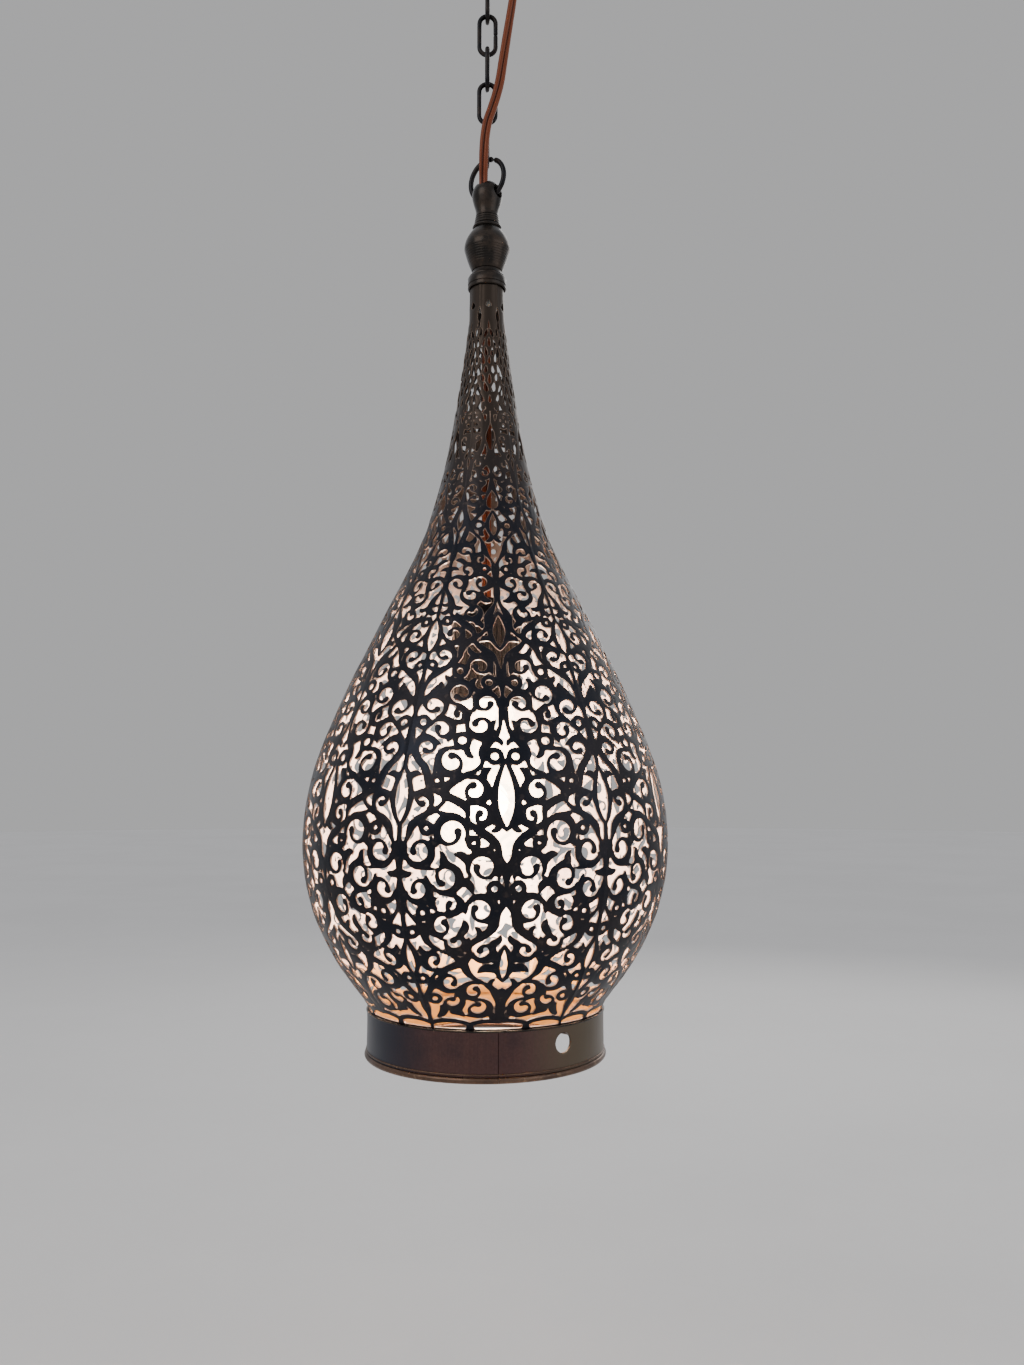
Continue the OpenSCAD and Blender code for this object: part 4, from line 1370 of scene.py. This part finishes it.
    def with_foot(self, f: Array, gy: Array, u: Array, w: Array) -> Array:
        """Adds the border under the scrolls, the slots with their tabs and the plain sheet in the band."""
        border, foot = self.outline.at_drop(self.foot_at + 1.4), self.outline.at_drop(self.slots_to)
        tab, pitch = 12.5, 17.5
        degrees = u[None, :] * math.degrees(HALF_GORE) + 0 * gy
        wave = np.abs(np.sin((degrees - tab) * math.pi / pitch))
        line = border + 1.1 - 2.2 * wave**0.7
        f = np.where(gy > line, np.minimum(f, line + 0.4 - gy), f)
        f = np.maximum(f, 1.15 - np.abs(gy - line) * 0.9)
        tabs = np.maximum(1.7 - np.abs(degrees - tab), degrees - 29.2) * w[:, None] / math.degrees(HALF_GORE)
        f = np.where(gy > border, np.maximum(f, tabs), f)
        return np.maximum(f, gy - foot)


@dataclass
class PiercedBody:
    """Six soldered gores of pierced sheet brass.

    Attributes:
        wall: Thickness of the sheet.
        first_middle: Turn of the first gore's middle about the vertical, in degrees.
        rows: Rows of the sheet's grid.
        cols: Columns of half a gore.
        dome: How far the metal between openings stands out in its middle.
        bead: How far the solder stands out on a seam.
    """

    wall: float = 0.8
    first_middle: float = FRONT_TURN
    rows: int = 448
    cols: int = 46
    dome: float = 0.10
    bead: float = 0.28

    def build(self) -> None:
        """Builds the gores from one pattern."""
        outline = Outline()
        work = Scrollwork(outline)
        work.draw()
        y, u, half = work.share(self.rows, self.cols)
        share = np.hstack([half[:, :0:-1], half])
        across = np.concatenate([-u[:0:-1], u])
        radius = np.interp(y, outline.run, outline.radius)[:, None]
        z = top_of("shell_gore_1") - np.interp(y, outline.run, outline.drop)[:, None]
        from_seam = (1 - np.abs(across))[None, :] * radius * HALF_GORE
        finishes = [Finish.SHELL, Finish.INSIDE, Finish.EDGE]
        for n in range(GORES):
            middle_turn = math.radians(self.first_middle) + n * 2 * HALF_GORE
            turn = middle_turn + across[None, :] * HALF_GORE
            lift = self.dome * (1 - np.exp(-np.maximum(share, 0) / 0.6))
            lift = lift + self.bead * np.exp(-((from_seam / 0.9) ** 2))
            lift = lift + 0.10 * np.sin(turn * 11 + z * 0.16) * np.sin(z * 0.21 - turn * 7) * (radius / 90)
            flat = about(radius, turn, z)
            normals = grid_normals(flat)
            if (normals[..., :2] * flat[..., :2]).sum() < 0:
                normals = -normals
            shell = plate(flat + normals * lift[..., None], normals, share, self.wall, rounding=0.06)
            node = f"shell_gore_{n + 1}"
            piece(f"pierced_gore_{n + 1}", shell, finishes, Body.LANTERN, "antique_bronze", node)


# ---------------------------------------------------------------- foot band


@dataclass
class FootBand:
    """Brushed band under the body, with its rolled edge.

    Attributes:
        wall: Thickness of the band.
        seam_turn: Turn of the butt seam about the vertical, in degrees.
        hole_turn: Turn of the cable hole, in degrees.
        hole: Diameter of the cable hole.
        hole_drop: Height of the band's top over the hole's middle.
        roll: Thickness of the rolled edge.
    """

    wall: float = 0.8
    seam_turn: float = FRONT_TURN
    hole_turn: float = -51.0
    hole: float = 9.0
    hole_drop: float = 8.0
    roll: float = 3.0

    def build(self) -> None:
        """Builds the band, its two raised edge lines and the rolled edge."""
        top, foot = top_of("foot_band"), foot_of("foot_band")
        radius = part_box("rolled_edge")[1][0] / MM - (self.roll - self.wall) / 2
        cols = 720
        z = np.linspace(top, foot, 62)[:, None]
        beside_seam = np.radians([-0.45, -0.30, -0.18, -0.09, 0.09, 0.18, 0.30, 0.45])
        way = np.sort(np.concatenate([np.linspace(-np.pi, np.pi, cols, endpoint=False), beside_seam]))
        turn = (math.radians(self.seam_turn) + way)[None, :]
        seam = 0.30 * np.exp(-((way * radius / 0.16) ** 2))[None, :]
        hole_at = (turn - math.radians(self.hole_turn)) * radius
        hole = np.hypot(hole_at, z - top + self.hole_drop) - self.hole / 2
        lift = 0.05 * np.sin(turn * 9) * np.sin(z * 0.3)
        r = radius + lift - seam - 0.25 * np.exp(-((hole / 0.35) ** 2))
        shell = plate(about(r, turn, z), about(1.0, turn, 0 * z), hole, self.wall, wrap=True)
        finishes = [Finish.BAND, Finish.INSIDE, Finish.FINIAL]
        piece("brushed_band", shell, finishes, Body.LANTERN, "band_bronze", "foot_band")
        for name, at, finish in (("band_line_top", top - 0.5, Finish.FINIAL),
                                 ("band_line_foot", foot + 0.9, Finish.BAND_EDGE)):
            ring = carried(about(radius, full_turn(300), at), round_section(0.9, 12), UP, closed=True)
            piece(name, ring, finish, Body.LANTERN, "band_bronze")
        self.rolled(radius - self.wall / 2)

    def rolled(self, radius: float) -> None:
        """Builds the roll that the band's foot ends in, with a hairline gap at the band's seam."""
        gap = 0.0006
        a = math.radians(self.seam_turn) + np.linspace(gap, 2 * np.pi - gap, 360)
        shell = carried(about(radius, a, middle("rolled_edge")[2]), round_section(self.roll, 28), UP)
        piece("rolled_foot", shell, Finish.BAND_EDGE, Body.LANTERN, "band_bronze",
              "rolled_edge", "edge_wire")


# ---------------------------------------------------------------- finial, chain and ring


@dataclass
class Finial:
    """Turned finial: eye post, ball and collar.

    Attributes:
        post: Diameter of the post's dome.
        post_wall: Thickness of the hollow post.
        hole: Diameter of the cross hole.
        ring_turn: Turn of the hole about the vertical, in degrees.
        ball: Diameter of the ball.
        collar: Diameter of the collar.
    """

    post: float = 15.7
    post_wall: float = 1.7
    hole: float = 7.0
    ring_turn: float = RING_TURN
    ball: float = 23.7
    collar: float = 20.0

    def eye_post(self) -> None:
        """Hollow dome with the cross hole for the ring, a hole for the flex and grooves under its waist."""
        r, top, foot = self.post / 2, top_of("finial_post"), foot_of("finial_post")
        pivot = top - 7
        a = np.linspace(0, np.pi / 2, 24)
        dome = np.stack([r * np.sin(a), top - r + r * np.cos(a)], axis=1)
        waist = through([(r, top - r), (r - 0.1, pivot - 2.6), (r - 0.8, pivot - 5.6), (6.2, pivot - 8.4),
                         (5.9, pivot - 10.4), (6.0, pivot - 12.0), (6.9, foot)], 12)
        outline = evenly(np.vstack([dome, waist[1:]]), 0.16)
        flare = (outline[:, 1] < pivot - 12.0) & (outline[:, 1] > foot + 0.5)
        deep = np.maximum(0, np.cos(2 * np.pi * (outline[:, 1] - pivot) / 1.4)) ** 5
        outline[:, 0] -= np.where(flare, 0.32 * deep, 0.0)
        points, normals = spun_surface(outline, 180)
        way = math.radians(self.ring_turn)
        off = points[..., 0] * math.sin(way) - points[..., 1] * math.cos(way)
        cross = np.hypot(off, points[..., 2] - pivot) - self.hole / 2
        flex = np.hypot(points[..., 0] + 1.9, points[..., 1] + 3.2) - 3.3
        flex = np.where(points[..., 2] > pivot + 1.5, flex, 9.0)
        shell = plate(points, normals, np.minimum(cross, flex), self.post_wall, wrap=True, rounding=0.22)
        shell.finishes = [np.zeros(len(f), int) for f in shell.faces]
        piece("finial_eye", shell, Finish.FINIAL, Body.LANTERN, "turned_bronze", "finial_post")

    def turned_ball(self) -> None:
        """Ball with a bead above it and fine grooves round its lower half."""
        r, top, foot = self.ball / 2, top_of("finial_ball"), foot_of("finial_ball")
        up = through([(7.9, foot), (8.6, foot + 1.6), (r - 1.6, foot + 6), (r - 0.1, foot + 11),
                      (r, foot + 13), (r - 0.5, foot + 15.4), (r - 1.7, foot + 18.2), (7.6, foot + 22),
                      (6.9, foot + 22.8)], 14)
        lip = [(7.4, foot + 22.9), (7.7, foot + 23.6), (7.4, foot + 24.3), (6.3, top - 0.1)]
        outline = evenly(np.vstack([up, lip]), 0.14)

        def grooves(_: Array, z: Array) -> Array:
            """Narrow grooves 1.2 mm apart under the ball's middle."""
            low = (z > foot + 2.5) & (z < foot + 11.5)
            return np.where(low, -0.09 * np.maximum(0, np.cos(2 * np.pi * z / 1.2)) ** 6, 0.0)

        shell = turned_piece(outline, 160, swell=grooves)
        piece("finial_bulb", shell, Finish.FINIAL, Body.LANTERN, "turned_bronze", "finial_ball")

    def neck_collar(self) -> None:
        """Collar over the neck, with a groove round it."""
        r, top, foot = self.collar / 2, top_of("neck_collar"), foot_of("neck_collar")
        inner = Outline().points[1][1] + 0.15
        loop = [(r - 0.4, foot), (r, foot + 0.4), (r, foot + 1.5), (r - 0.35, foot + 1.75),
                (r - 0.35, foot + 2.1), (r, foot + 2.35), (r, top - 4.4), (r - 0.35, top - 3.9),
                (r - 0.9, top - 3.4), (8.6, top - 2.4), (7.9, top - 1.2), (7.6, top), (4.2, top),
                (4.2, top - 3), (inner, top - 3.2), (inner, foot)]
        shell = turned_piece(loop, 160, closed=True)
        piece("collar_ring", shell, Finish.FINIAL, Body.LANTERN, "turned_bronze", "neck_collar")

    def build(self) -> None:
        """Builds the finial."""
        self.eye_post()
        self.turned_ball()
        self.neck_collar()


@dataclass
class Chain:
    """Seven oval wire links and the ring under them.

    Attributes:
        width: Outside width of a link.
        wire: Wire thickness of a link.
        ring: Outside diameter of the ring.
        ring_wire: Wire thickness of the ring.
        ring_turn: Turn of the ring's plane about the vertical, in degrees.
        opening: Angles at which the ring's wire ends and starts, in degrees.
    """

    width: float = 11.0
    wire: float = 2.4
    ring: float = 24.0
    ring_wire: float = 2.7
    ring_turn: float = RING_TURN
    opening: tuple = (62.0, 71.0)

    def oval(self, length: float) -> Array:
        """Centre line of a link in the XZ plane with its top at 0, from its open joint round to it."""
        r = (self.width - self.wire) / 2
        high, low = -self.width / 2, -length + self.width / 2
        gap = 0.12
        a = np.linspace(0, np.pi, 24)
        mid = -length / 2
        right_up = [(r, mid + gap), (r, mid + 1), (r, (mid + high) / 2)]
        over = np.stack([r * np.cos(a), high + r * np.sin(a)], axis=1)
        left = [(-r, mid + 2), (-r, mid - 2)]
        under = np.stack([-r * np.cos(a), low - r * np.sin(a)], axis=1)
        right_down = [(r, (mid + low) / 2), (r, mid - 1), (r, mid - gap)]
        q = evenly(np.vstack([right_up, over, left, under, right_down]), 0.5)
        return np.stack([q[:, 0], np.zeros(len(q)), q[:, 1]], axis=1)

    @staticmethod
    def tapered(count: int, last: float, next_to_last: float) -> Array:
        """Sizes along a wire: 1, but less at the two points nearest to each end."""
        size = np.ones(count)
        size[[1, -2]] = next_to_last
        size[[0, -1]] = last
        return size

    def link(self, n: int) -> None:
        """Builds link n, pinched a little at its joint."""
        node = f"chain_link_{n}"
        top, foot = top_of(node), foot_of(node)
        path = self.oval(top - foot)
        edge_on = n % 2 == 1
        turn = np.array([[0, -1, 0], [1, 0, 0], [0, 0, 1]]) if edge_on else np.eye(3)
        size = self.tapered(len(path), 0.82, 0.97)
        shell = carried(path, round_section(self.wire, 22), ALONG_Y, width=size)
        shell = shell.turned(turn).moved((0, 0, top))
        body = Body.UPPER_CHAIN if n <= 3 else Body.LOWER_CHAIN
        piece(f"wire_link_{n}", shell, Finish.CHAIN, body, "chain_bronze", node)

    def hanging_ring(self) -> None:
        """Builds the ring, with rounded wire ends at its opening."""
        r = (self.ring - self.ring_wire) / 2
        a = np.radians(np.linspace(self.opening[1], self.opening[0] + 360, 130))
        flat_path = np.stack([r * np.cos(a), np.zeros(len(a)), r * np.sin(a)], axis=1)
        w = math.radians(self.ring_turn)
        turn = np.array([[math.cos(w), -math.sin(w), 0], [math.sin(w), math.cos(w), 0], [0, 0, 1]])
        size = self.tapered(len(a), 0.72, 0.94)
        shell = carried(flat_path, round_section(self.ring_wire, 24), ALONG_Y, width=size)
        shell = shell.turned(turn).moved((0, 0, middle("hanging_ring")[2]))
        piece("wire_ring", shell, Finish.CHAIN, Body.RING, "chain_bronze", "hanging_ring")

    def build(self) -> None:
        """Builds the links and the ring."""
        for n in range(1, 8):
            self.link(n)
        self.hanging_ring()


# ---------------------------------------------------------------- lamp


@dataclass
class Lamp:
    """Fluted lampholder on the inner flex, and its bulb.

    Attributes:
        holder: Diameter of the lampholder.
        flutes: Number of flutes.
        flute: Diameter of the cutter that made a flute.
        bulb: Diameter of the bulb.
        cap: Diameter of the bulb's screw cap.
        pitch: Pitch of its thread.
    """

    holder: float = 35.0
    flutes: int = 24
    flute: float = 2.4
    bulb: float = 60.0
    cap: float = 26.4
    pitch: float = 3.6

    def holder_cap(self) -> None:
        """Cap of the lampholder."""
        r, top, foot = self.holder / 2, top_of("holder_cap"), foot_of("holder_cap")
        outer = through([(r, foot), (r - 0.15, foot + 0.6), (r - 1.1, foot + 1.9), (r - 3.2, foot + 3.1),
                         (11.5, foot + 4.3), (8.6, foot + 5.4), (6.4, foot + 6.8), (5.6, foot + 8.4),
                         (5.5, foot + 11), (5.1, top)], 6)
        inner = [(3.6, top), (3.6, foot + 3.6), (r - 5, foot + 1.2), (r - 2, foot)]
        shell = turned_piece(np.vstack([outer, inner]), 128, closed=True)
        piece("moulded_cap", shell, Finish.BAKELITE, Body.HOLDER, "black_bakelite", "holder_cap")

    def holder_body(self) -> None:
        """Fluted body of the lampholder."""
        r, top, foot = self.holder / 2, top_of("holder_body"), foot_of("holder_body")
        low, high = foot + 3, top - 3
        inner = 14.6
        outer = evenly(np.array([(r, foot), (r, top)], float), 0.5)
        loop = np.vstack([[(r - 0.6, foot)], outer, [(inner, top), (inner, foot)]])

        def cut(a: Array, z: Array) -> Array:
            """Depth of the flutes: how far each cutter's circle reaches inside the surface."""
            pitch = 2 * np.pi / self.flutes
            beside = ((a + pitch / 2) % pitch - pitch / 2) * r
            ends = np.clip(np.minimum(z - low, high - z) / 0.8, 0, 1)
            deep = np.sqrt(np.maximum((self.flute / 2) ** 2 - beside**2, 0)) - 0.4
            return -np.maximum(deep, 0) * ends

        shell = turned_piece(loop, self.flutes * 16, closed=True,
                             swell=lambda a, z: cut(a, z) * (z > low) * (z < high))
        piece("fluted_body", shell, Finish.BAKELITE, Body.HOLDER, "black_bakelite", "holder_body")

    def bulb_cap(self) -> None:
        """Screw cap with a rolled thread."""
        root, top, foot = self.cap / 2 - 0.8, top_of("bulb_cap"), foot_of("bulb_cap")
        wall = evenly(np.array([(root, foot), (root, top - 2.6)], float), 0.3)
        loop = np.vstack([wall, [(10.4, top - 1.2), (7, top), (6.2, top), (6.2, top - 0.7), (9.8, top - 2.0),
                                 (root - 0.5, top - 3.2), (root - 0.5, foot)]])

        def thread(a: Array, z: Array) -> Array:
            """Rounded thread: 0.4 * (1 + cos) of the angle less the height's share of the pitch."""
            ends = np.clip(np.minimum(z - foot - 1.5, top - 4.4 - z) / 1.2, 0, 1)
            return 0.4 * (1 + np.cos(a - 2 * np.pi * z / self.pitch)) * ends

        shell = turned_piece(loop, 120, closed=True, swell=thread)
        piece("screw_cap", shell, Finish.CAP_METAL, Body.BULB, "bulb_metal", "bulb_cap")

    def glass(self) -> None:
        """Blown glass, a ball that runs into the neck, closed at the cap."""
        foot, top = foot_of("bulb_glass"), top_of("bulb_glass")
        r, neck, wall = self.bulb / 2, self.cap / 2 - 1.9, 0.7
        mid = foot + r
        a = np.radians(np.linspace(-90, 20, 40))
        ball = np.stack([r * np.cos(a), mid + r * np.sin(a)], axis=1)
        shoulder = through([(r * math.cos(math.radians(20)), mid + r * math.sin(math.radians(20))),
                            (26, mid + r * 0.5), (21, mid + 25), (16, mid + 36), (13.6, mid + 46),
                            (neck + 0.1, top - 8), (neck, top)], 8)
        outer = np.vstack([ball, shoulder[1:]])
        slope = np.gradient(outer, axis=0)
        slope /= np.linalg.norm(slope, axis=1, keepdims=True)
        inner = outer - wall * np.stack([slope[:, 1], -slope[:, 0]], axis=1)
        inner[0] = (0.0, foot + wall)
        outer[0] = (0.0, foot)
        outer[:, 0], inner[:, 0] = np.maximum(outer[:, 0], 0.02), np.maximum(inner[:, 0], 0.02)
        shell = turned_piece(np.vstack([outer, inner[::-1]]), 96, closed=True)
        piece("blown_glass", shell, Finish.GLASS, Body.BULB, "bulb_glass", "bulb_glass")

    def stem(self) -> None:
        """Glass stem with two lead wires and two support wires."""
        z, half = middle("bulb_filament")[2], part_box("bulb_filament")[1][0] / MM
        top = top_of("bulb_stem")
        outline = through([(1.2, z + 5.6), (2.3, z + 6.4), (2.5, z + 9), (2.4, z + 18), (3.2, z + 32),
                           (5.2, top - 12), (8.4, top - 4), (9.8, top)], 8)
        piece("stem_glass", turned_piece(outline, 48), Finish.GLASS, Body.BULB, "bulb_glass", "bulb_stem")
        wires = []
        for side in (-1, 1):
            for reach, rise in ((half - 0.4, 0.2), (half * 0.35, 0.6)):
                path = through([(side * 1.4, 0, z + 14), (side * (1.6 + reach * 0.2), 0, z + 9),
                                (side * reach * 0.8, 0, z + 4), (side * reach, 0, z + rise)], 10)
                wires.append(carried(path, round_section(0.45, 8), ALONG_Y))
        piece("lead_wires", joined(*wires), Finish.ZINC, Body.BULB, "bulb_metal")

    def filament(self) -> None:
        """Wound filament: a wire on a helix along X, hung a little lower in its middle."""
        z, half = middle("bulb_filament")[2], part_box("bulb_filament")[1][0] / MM - 0.2
        turns, per_turn = 34, 14
        t = np.linspace(0, 1, turns * per_turn)
        a = 2 * np.pi * turns * t
        x = half * (2 * t - 1)
        sag = -0.5 * np.cos(np.pi * (t - 0.5) * 2) ** 2
        path = np.stack([x, 0.62 * np.cos(a), z + 0.62 * np.sin(a) + sag], axis=1)
        shell = carried(path, round_section(0.36, 6), ALONG_X)
        piece("wound_filament", shell, Finish.FILAMENT, Body.BULB, "filament", "bulb_filament")
        data = bpy.data.lights.new("lamp light", "POINT")
        data.energy = 1.9
        data.color = (1.0, 0.87, 0.74)
        data.shadow_soft_size = 0.012
        obj = bpy.data.objects.new("lamp light", data)
        obj.location = (0, 0, z * MM)
        bpy.context.scene.collection.objects.link(obj)
        obj.parent = frame["bodies"][Body.BULB.value]

    def build(self) -> None:
        """Builds the lampholder and the bulb."""
        self.holder_cap()
        self.holder_body()
        self.bulb_cap()
        self.glass()
        self.stem()
        self.filament()


# ---------------------------------------------------------------- ceiling fitting


@dataclass
class CeilingFitting:
    """Spun cup over the ceiling strap, the nut under it and the eye that the chain hangs on.

    Attributes:
        cup: Diameter of the cup's rim.
        sheet: Thickness of the cup.
        eye: Outside diameter of the eye.
        eye_wire: Wire thickness of the eye.
        shank: Diameter of the eye's shank.
        grip_at: x and y of the flex grip.
    """

    cup: float = 96.0
    sheet: float = 0.8
    eye: float = 18.0
    eye_wire: float = 3.0
    shank: float = 6.0
    grip_at: tuple = (19.0, -14.0)

    def canopy(self) -> None:
        """Cup with a rolled rim, a step near it, and holes for the shank and the flex grip."""
        r, top, foot = self.cup / 2, top_of("canopy"), foot_of("canopy")
        high = top - foot
        outline = evenly(np.array(through([
            (r, top), (r, top - 2.2), (r - 0.5, top - 3.0), (r - 1.3, top - 3.4), (r - 1.5, top - 4.2),
            (r - 1.7, top - 8), (r - 3.0, top - 12.5), (r - 6.5, top - 17.2), (r - 14, top - 22.2),
            (r - 24, top - high + 0.6), (12, foot), (0.0, foot)], 12)), 0.7)
        points, normals = spun_surface(outline, 260)
        middle_hole = np.hypot(points[..., 0], points[..., 1]) - self.shank / 2 - 0.1
        grip_hole = np.hypot(points[..., 0] - self.grip_at[0], points[..., 1] - self.grip_at[1]) - 4.1
        low_face = points[..., 2] < foot + 8
        share = np.where(low_face, np.minimum(middle_hole, grip_hole), 9.0)
        shell = plate(points, normals, share, self.sheet, wrap=True)
        finishes = [Finish.CANOPY, Finish.ZINC, Finish.CANOPY]
        piece("spun_cup", shell, finishes, Body.CEILING, "canopy_bronze", "canopy")

    def eye_bolt(self) -> None:
        """Shank with a shoulder, bent round to the eye."""
        top, foot = top_of("eye_bolt"), foot_of("eye_bolt")
        r = (self.eye - self.eye_wire) / 2
        centre = foot + self.eye / 2
        a = full_turn(96)
        path = np.stack([r * np.cos(a), 0 * a, centre + r * np.sin(a)], axis=1)
        eye = carried(path, round_section(self.eye_wire, 24), ALONG_Y, closed=True)
        s = self.shank / 2
        neck = centre + r + 0.2
        outline = [(1.6, neck - 0.9), (2.2, neck), (s, neck + 1.0), (s, neck + 1.6)]
        z = np.arange(neck + 2.0, top - 0.8, 0.5)
        outline += [(s - 0.25 * (k % 2), float(h)) for k, h in enumerate(z)]
        outline += [(s - 0.6, top)]
        shell = joined(eye, turned_piece(outline, 48))
        piece("screw_eye", shell, Finish.CHAIN, Body.CEILING, "chain_bronze", "eye_bolt")

    def nut(self) -> None:
        """Round nut with a coin edge under the cup."""
        top, foot = top_of("cup_nut"), foot_of("cup_nut")
        loop = [(4.6, foot), (6.2, foot + 0.7), (7.0, foot + 1.5), (7.0, top - 0.4), (6.6, top), (3.1, top),
                (3.1, foot)]
        shell = turned_piece(evenly(np.array(loop + loop[:1], float), 0.3)[:-1], 144, closed=True,
                             swell=lambda a, z: np.where((z > foot + 1.4) & (z < top - 0.3),
                                                         0.16 * np.cos(36 * a) - 0.16, 0.0))
        piece("coin_nut", shell, Finish.CANOPY, Body.CEILING, "canopy_bronze", "cup_nut")

    def grip(self) -> None:
        """Moulded grip where the flex leaves the cup."""
        x, y = self.grip_at
        foot, top = foot_of("canopy_grip"), top_of("canopy_grip")
        loop = [(3.5, foot), (3.8, foot + 0.5), (4.0, foot + 1.4), (4.2, foot + 3.2), (5.2, foot + 4.3),
                (5.5, foot + 4.8), (5.5, foot + 5.6), (5.2, foot + 5.8), (4.0, foot + 5.8), (4.0, top),
                (3.2, top), (3.2, foot)]
        shell = turned_piece(loop, 72, closed=True).moved((x, y, 0))
        piece("flex_grip", shell, Finish.BAKELITE, Body.CEILING, "black_bakelite", "canopy_grip")

    def build(self) -> None:
        """Builds the ceiling fitting."""
        self.canopy()
        self.eye_bolt()
        self.nut()
        self.grip()


SLOT_FINISH = {
    "zinc_steel": Finish.ZINC, "plain_brass": Finish.BRASS, "white_nylon": Finish.NYLON,
    "lamp_ceramic": Finish.CERAMIC, "bulb_metal": Finish.CAP_METAL, "black_glass": Finish.BLACK_GLASS,
    "flex_copper": Finish.BRASS, "black_bakelite": Finish.BAKELITE, "chain_bronze": Finish.CHAIN,
    "canopy_bronze": Finish.CANOPY, "turned_bronze": Finish.FINIAL, "band_bronze": Finish.BAND_EDGE,
    "antique_bronze": Finish.SHELL, "bulb_glass": Finish.GLASS, "filament": Finish.FILAMENT}


def dress_rest() -> None:
    """Gives every CAD node that still shows the finish of its slot in the record."""
    for part in frame["record"]["subparts"]:
        obj = frame["nodes"][part["node"]]
        if obj.hide_render:
            continue
        obj.data.materials.clear()
        obj.data.materials.append(SLOT_FINISH[part["material_slot"]].material())
        LOG.info("%s: dressed", obj.name)


# ---------------------------------------------------------------- stage


@dataclass
class Stage:
    """Floor, lights and camera.

    Attributes:
        floor_drop: Height of the floor under the lantern's foot, in millimetres.
        floor_size: Diameter of the floor, in millimetres.
        camera_at: Place of the camera, in metres.
        camera_up: How far the camera looks up, in degrees.
        lens: Focal length of the camera, in millimetres, for a sensor 36 mm high.
    """

    floor_drop: float = 260.0
    floor_size: float = 18000.0
    camera_at: tuple = (0.013, -0.563, -0.5051)
    camera_up: float = 5.0
    lens: float = 29.54

    def floor(self) -> None:
        """A wide pale disc under the lantern."""
        z = CAD_BOX[0][2] / MM - self.floor_drop
        sides = 96
        ring = about(self.floor_size / 2, full_turn(sides), z)
        k = np.arange(sides)
        tris = np.stack([np.full(sides, sides), k, (k + 1) % sides], axis=1)
        finish = Patina("pale floor", colour(0.72, 0.71, 0.70), colour(0.70, 0.69, 0.68),
                        bare=colour(0.68, 0.67, 0.66), metallic=0.0, rough=0.85, specks=0.0, mottle=0.02,
                        blotch=2.0, grain=40.0, bump=0.0)
        build("floor", Shell(np.vstack([ring, [[0, 0, z]]]), [tris]), [finish.material()])

    @staticmethod
    def lamp(name: str, at: tuple, size: float, power: float, tone: tuple, aim: tuple) -> None:
        """A soft square light at a place, in metres, turned to look at aim."""
        data = bpy.data.lights.new(name, "AREA")
        data.shape = "SQUARE"
        data.size = size
        data.energy = power
        data.color = tone
        obj = bpy.data.objects.new(name, data)
        bpy.context.scene.collection.objects.link(obj)
        way = np.array(aim, float) - np.array(at, float)
        flat = math.hypot(way[0], way[1])
        obj.location = at
        obj.rotation_euler = (math.atan2(flat, -way[2]), 0.0, math.atan2(-way[0], way[1]))

    def lights(self) -> None:
        """Soft lights round the lantern and a pale surround."""
        centre = (0.0, 0.0, -0.42)
        self.lamp("key light", (-1.1, -1.2, 0.5), 1.2, 9.0, (1.0, 0.97, 0.94), centre)
        self.lamp("fill light", (1.4, -0.8, 0.0), 1.4, 5.5, (0.92, 0.95, 1.0), centre)
        self.lamp("back light", (0.5, 1.5, 0.4), 1.5, 9.0, (1.0, 0.98, 0.95), centre)
        world = bpy.data.worlds.new("surround")
        bpy.context.scene.world = world
        world.use_nodes = True
        tree = Tree(world.node_tree)
        world.node_tree.nodes.clear()
        path = tree.node("ShaderNodeLightPath")
        seen = tree.node("ShaderNodeBackground", {0: colour(0.45, 0.45, 0.455), 1: 1.0})
        felt = tree.node("ShaderNodeBackground", {0: colour(0.78, 0.79, 0.82), 1: 0.8})
        mix = tree.node("ShaderNodeMixShader",
                        {0: path.outputs["Is Camera Ray"], 1: felt.outputs[0], 2: seen.outputs[0]})
        tree.node("ShaderNodeOutputWorld", {"Surface": mix.outputs[0]})

    def camera(self) -> None:
        """The camera, level with the bulb and a little right of the lantern's axis."""
        data = bpy.data.cameras.new("camera")
        data.sensor_width = 36.0
        data.lens = self.lens
        data.clip_start = 0.01
        obj = bpy.data.objects.new("camera", data)
        obj.location = self.camera_at
        obj.rotation_euler = (math.radians(90 + self.camera_up), 0.0, 0.0)
        bpy.context.scene.collection.objects.link(obj)
        bpy.context.scene.camera = obj

    def build(self) -> None:
        """Builds the stage."""
        self.camera()
        self.lights()
        self.floor()


def main() -> None:
    """Builds the lantern's sub-assemblies in order."""
    logging.basicConfig(level=logging.INFO, format="%(message)s")
    Stage().build()
    Flex().build()
    for assembly in (CeilingFitting(), Chain(), Finial(), PiercedBody(), FootBand(), Lamp()):
        assembly.build()
    dress_rest()


if __name__ == "__main__":
    main()
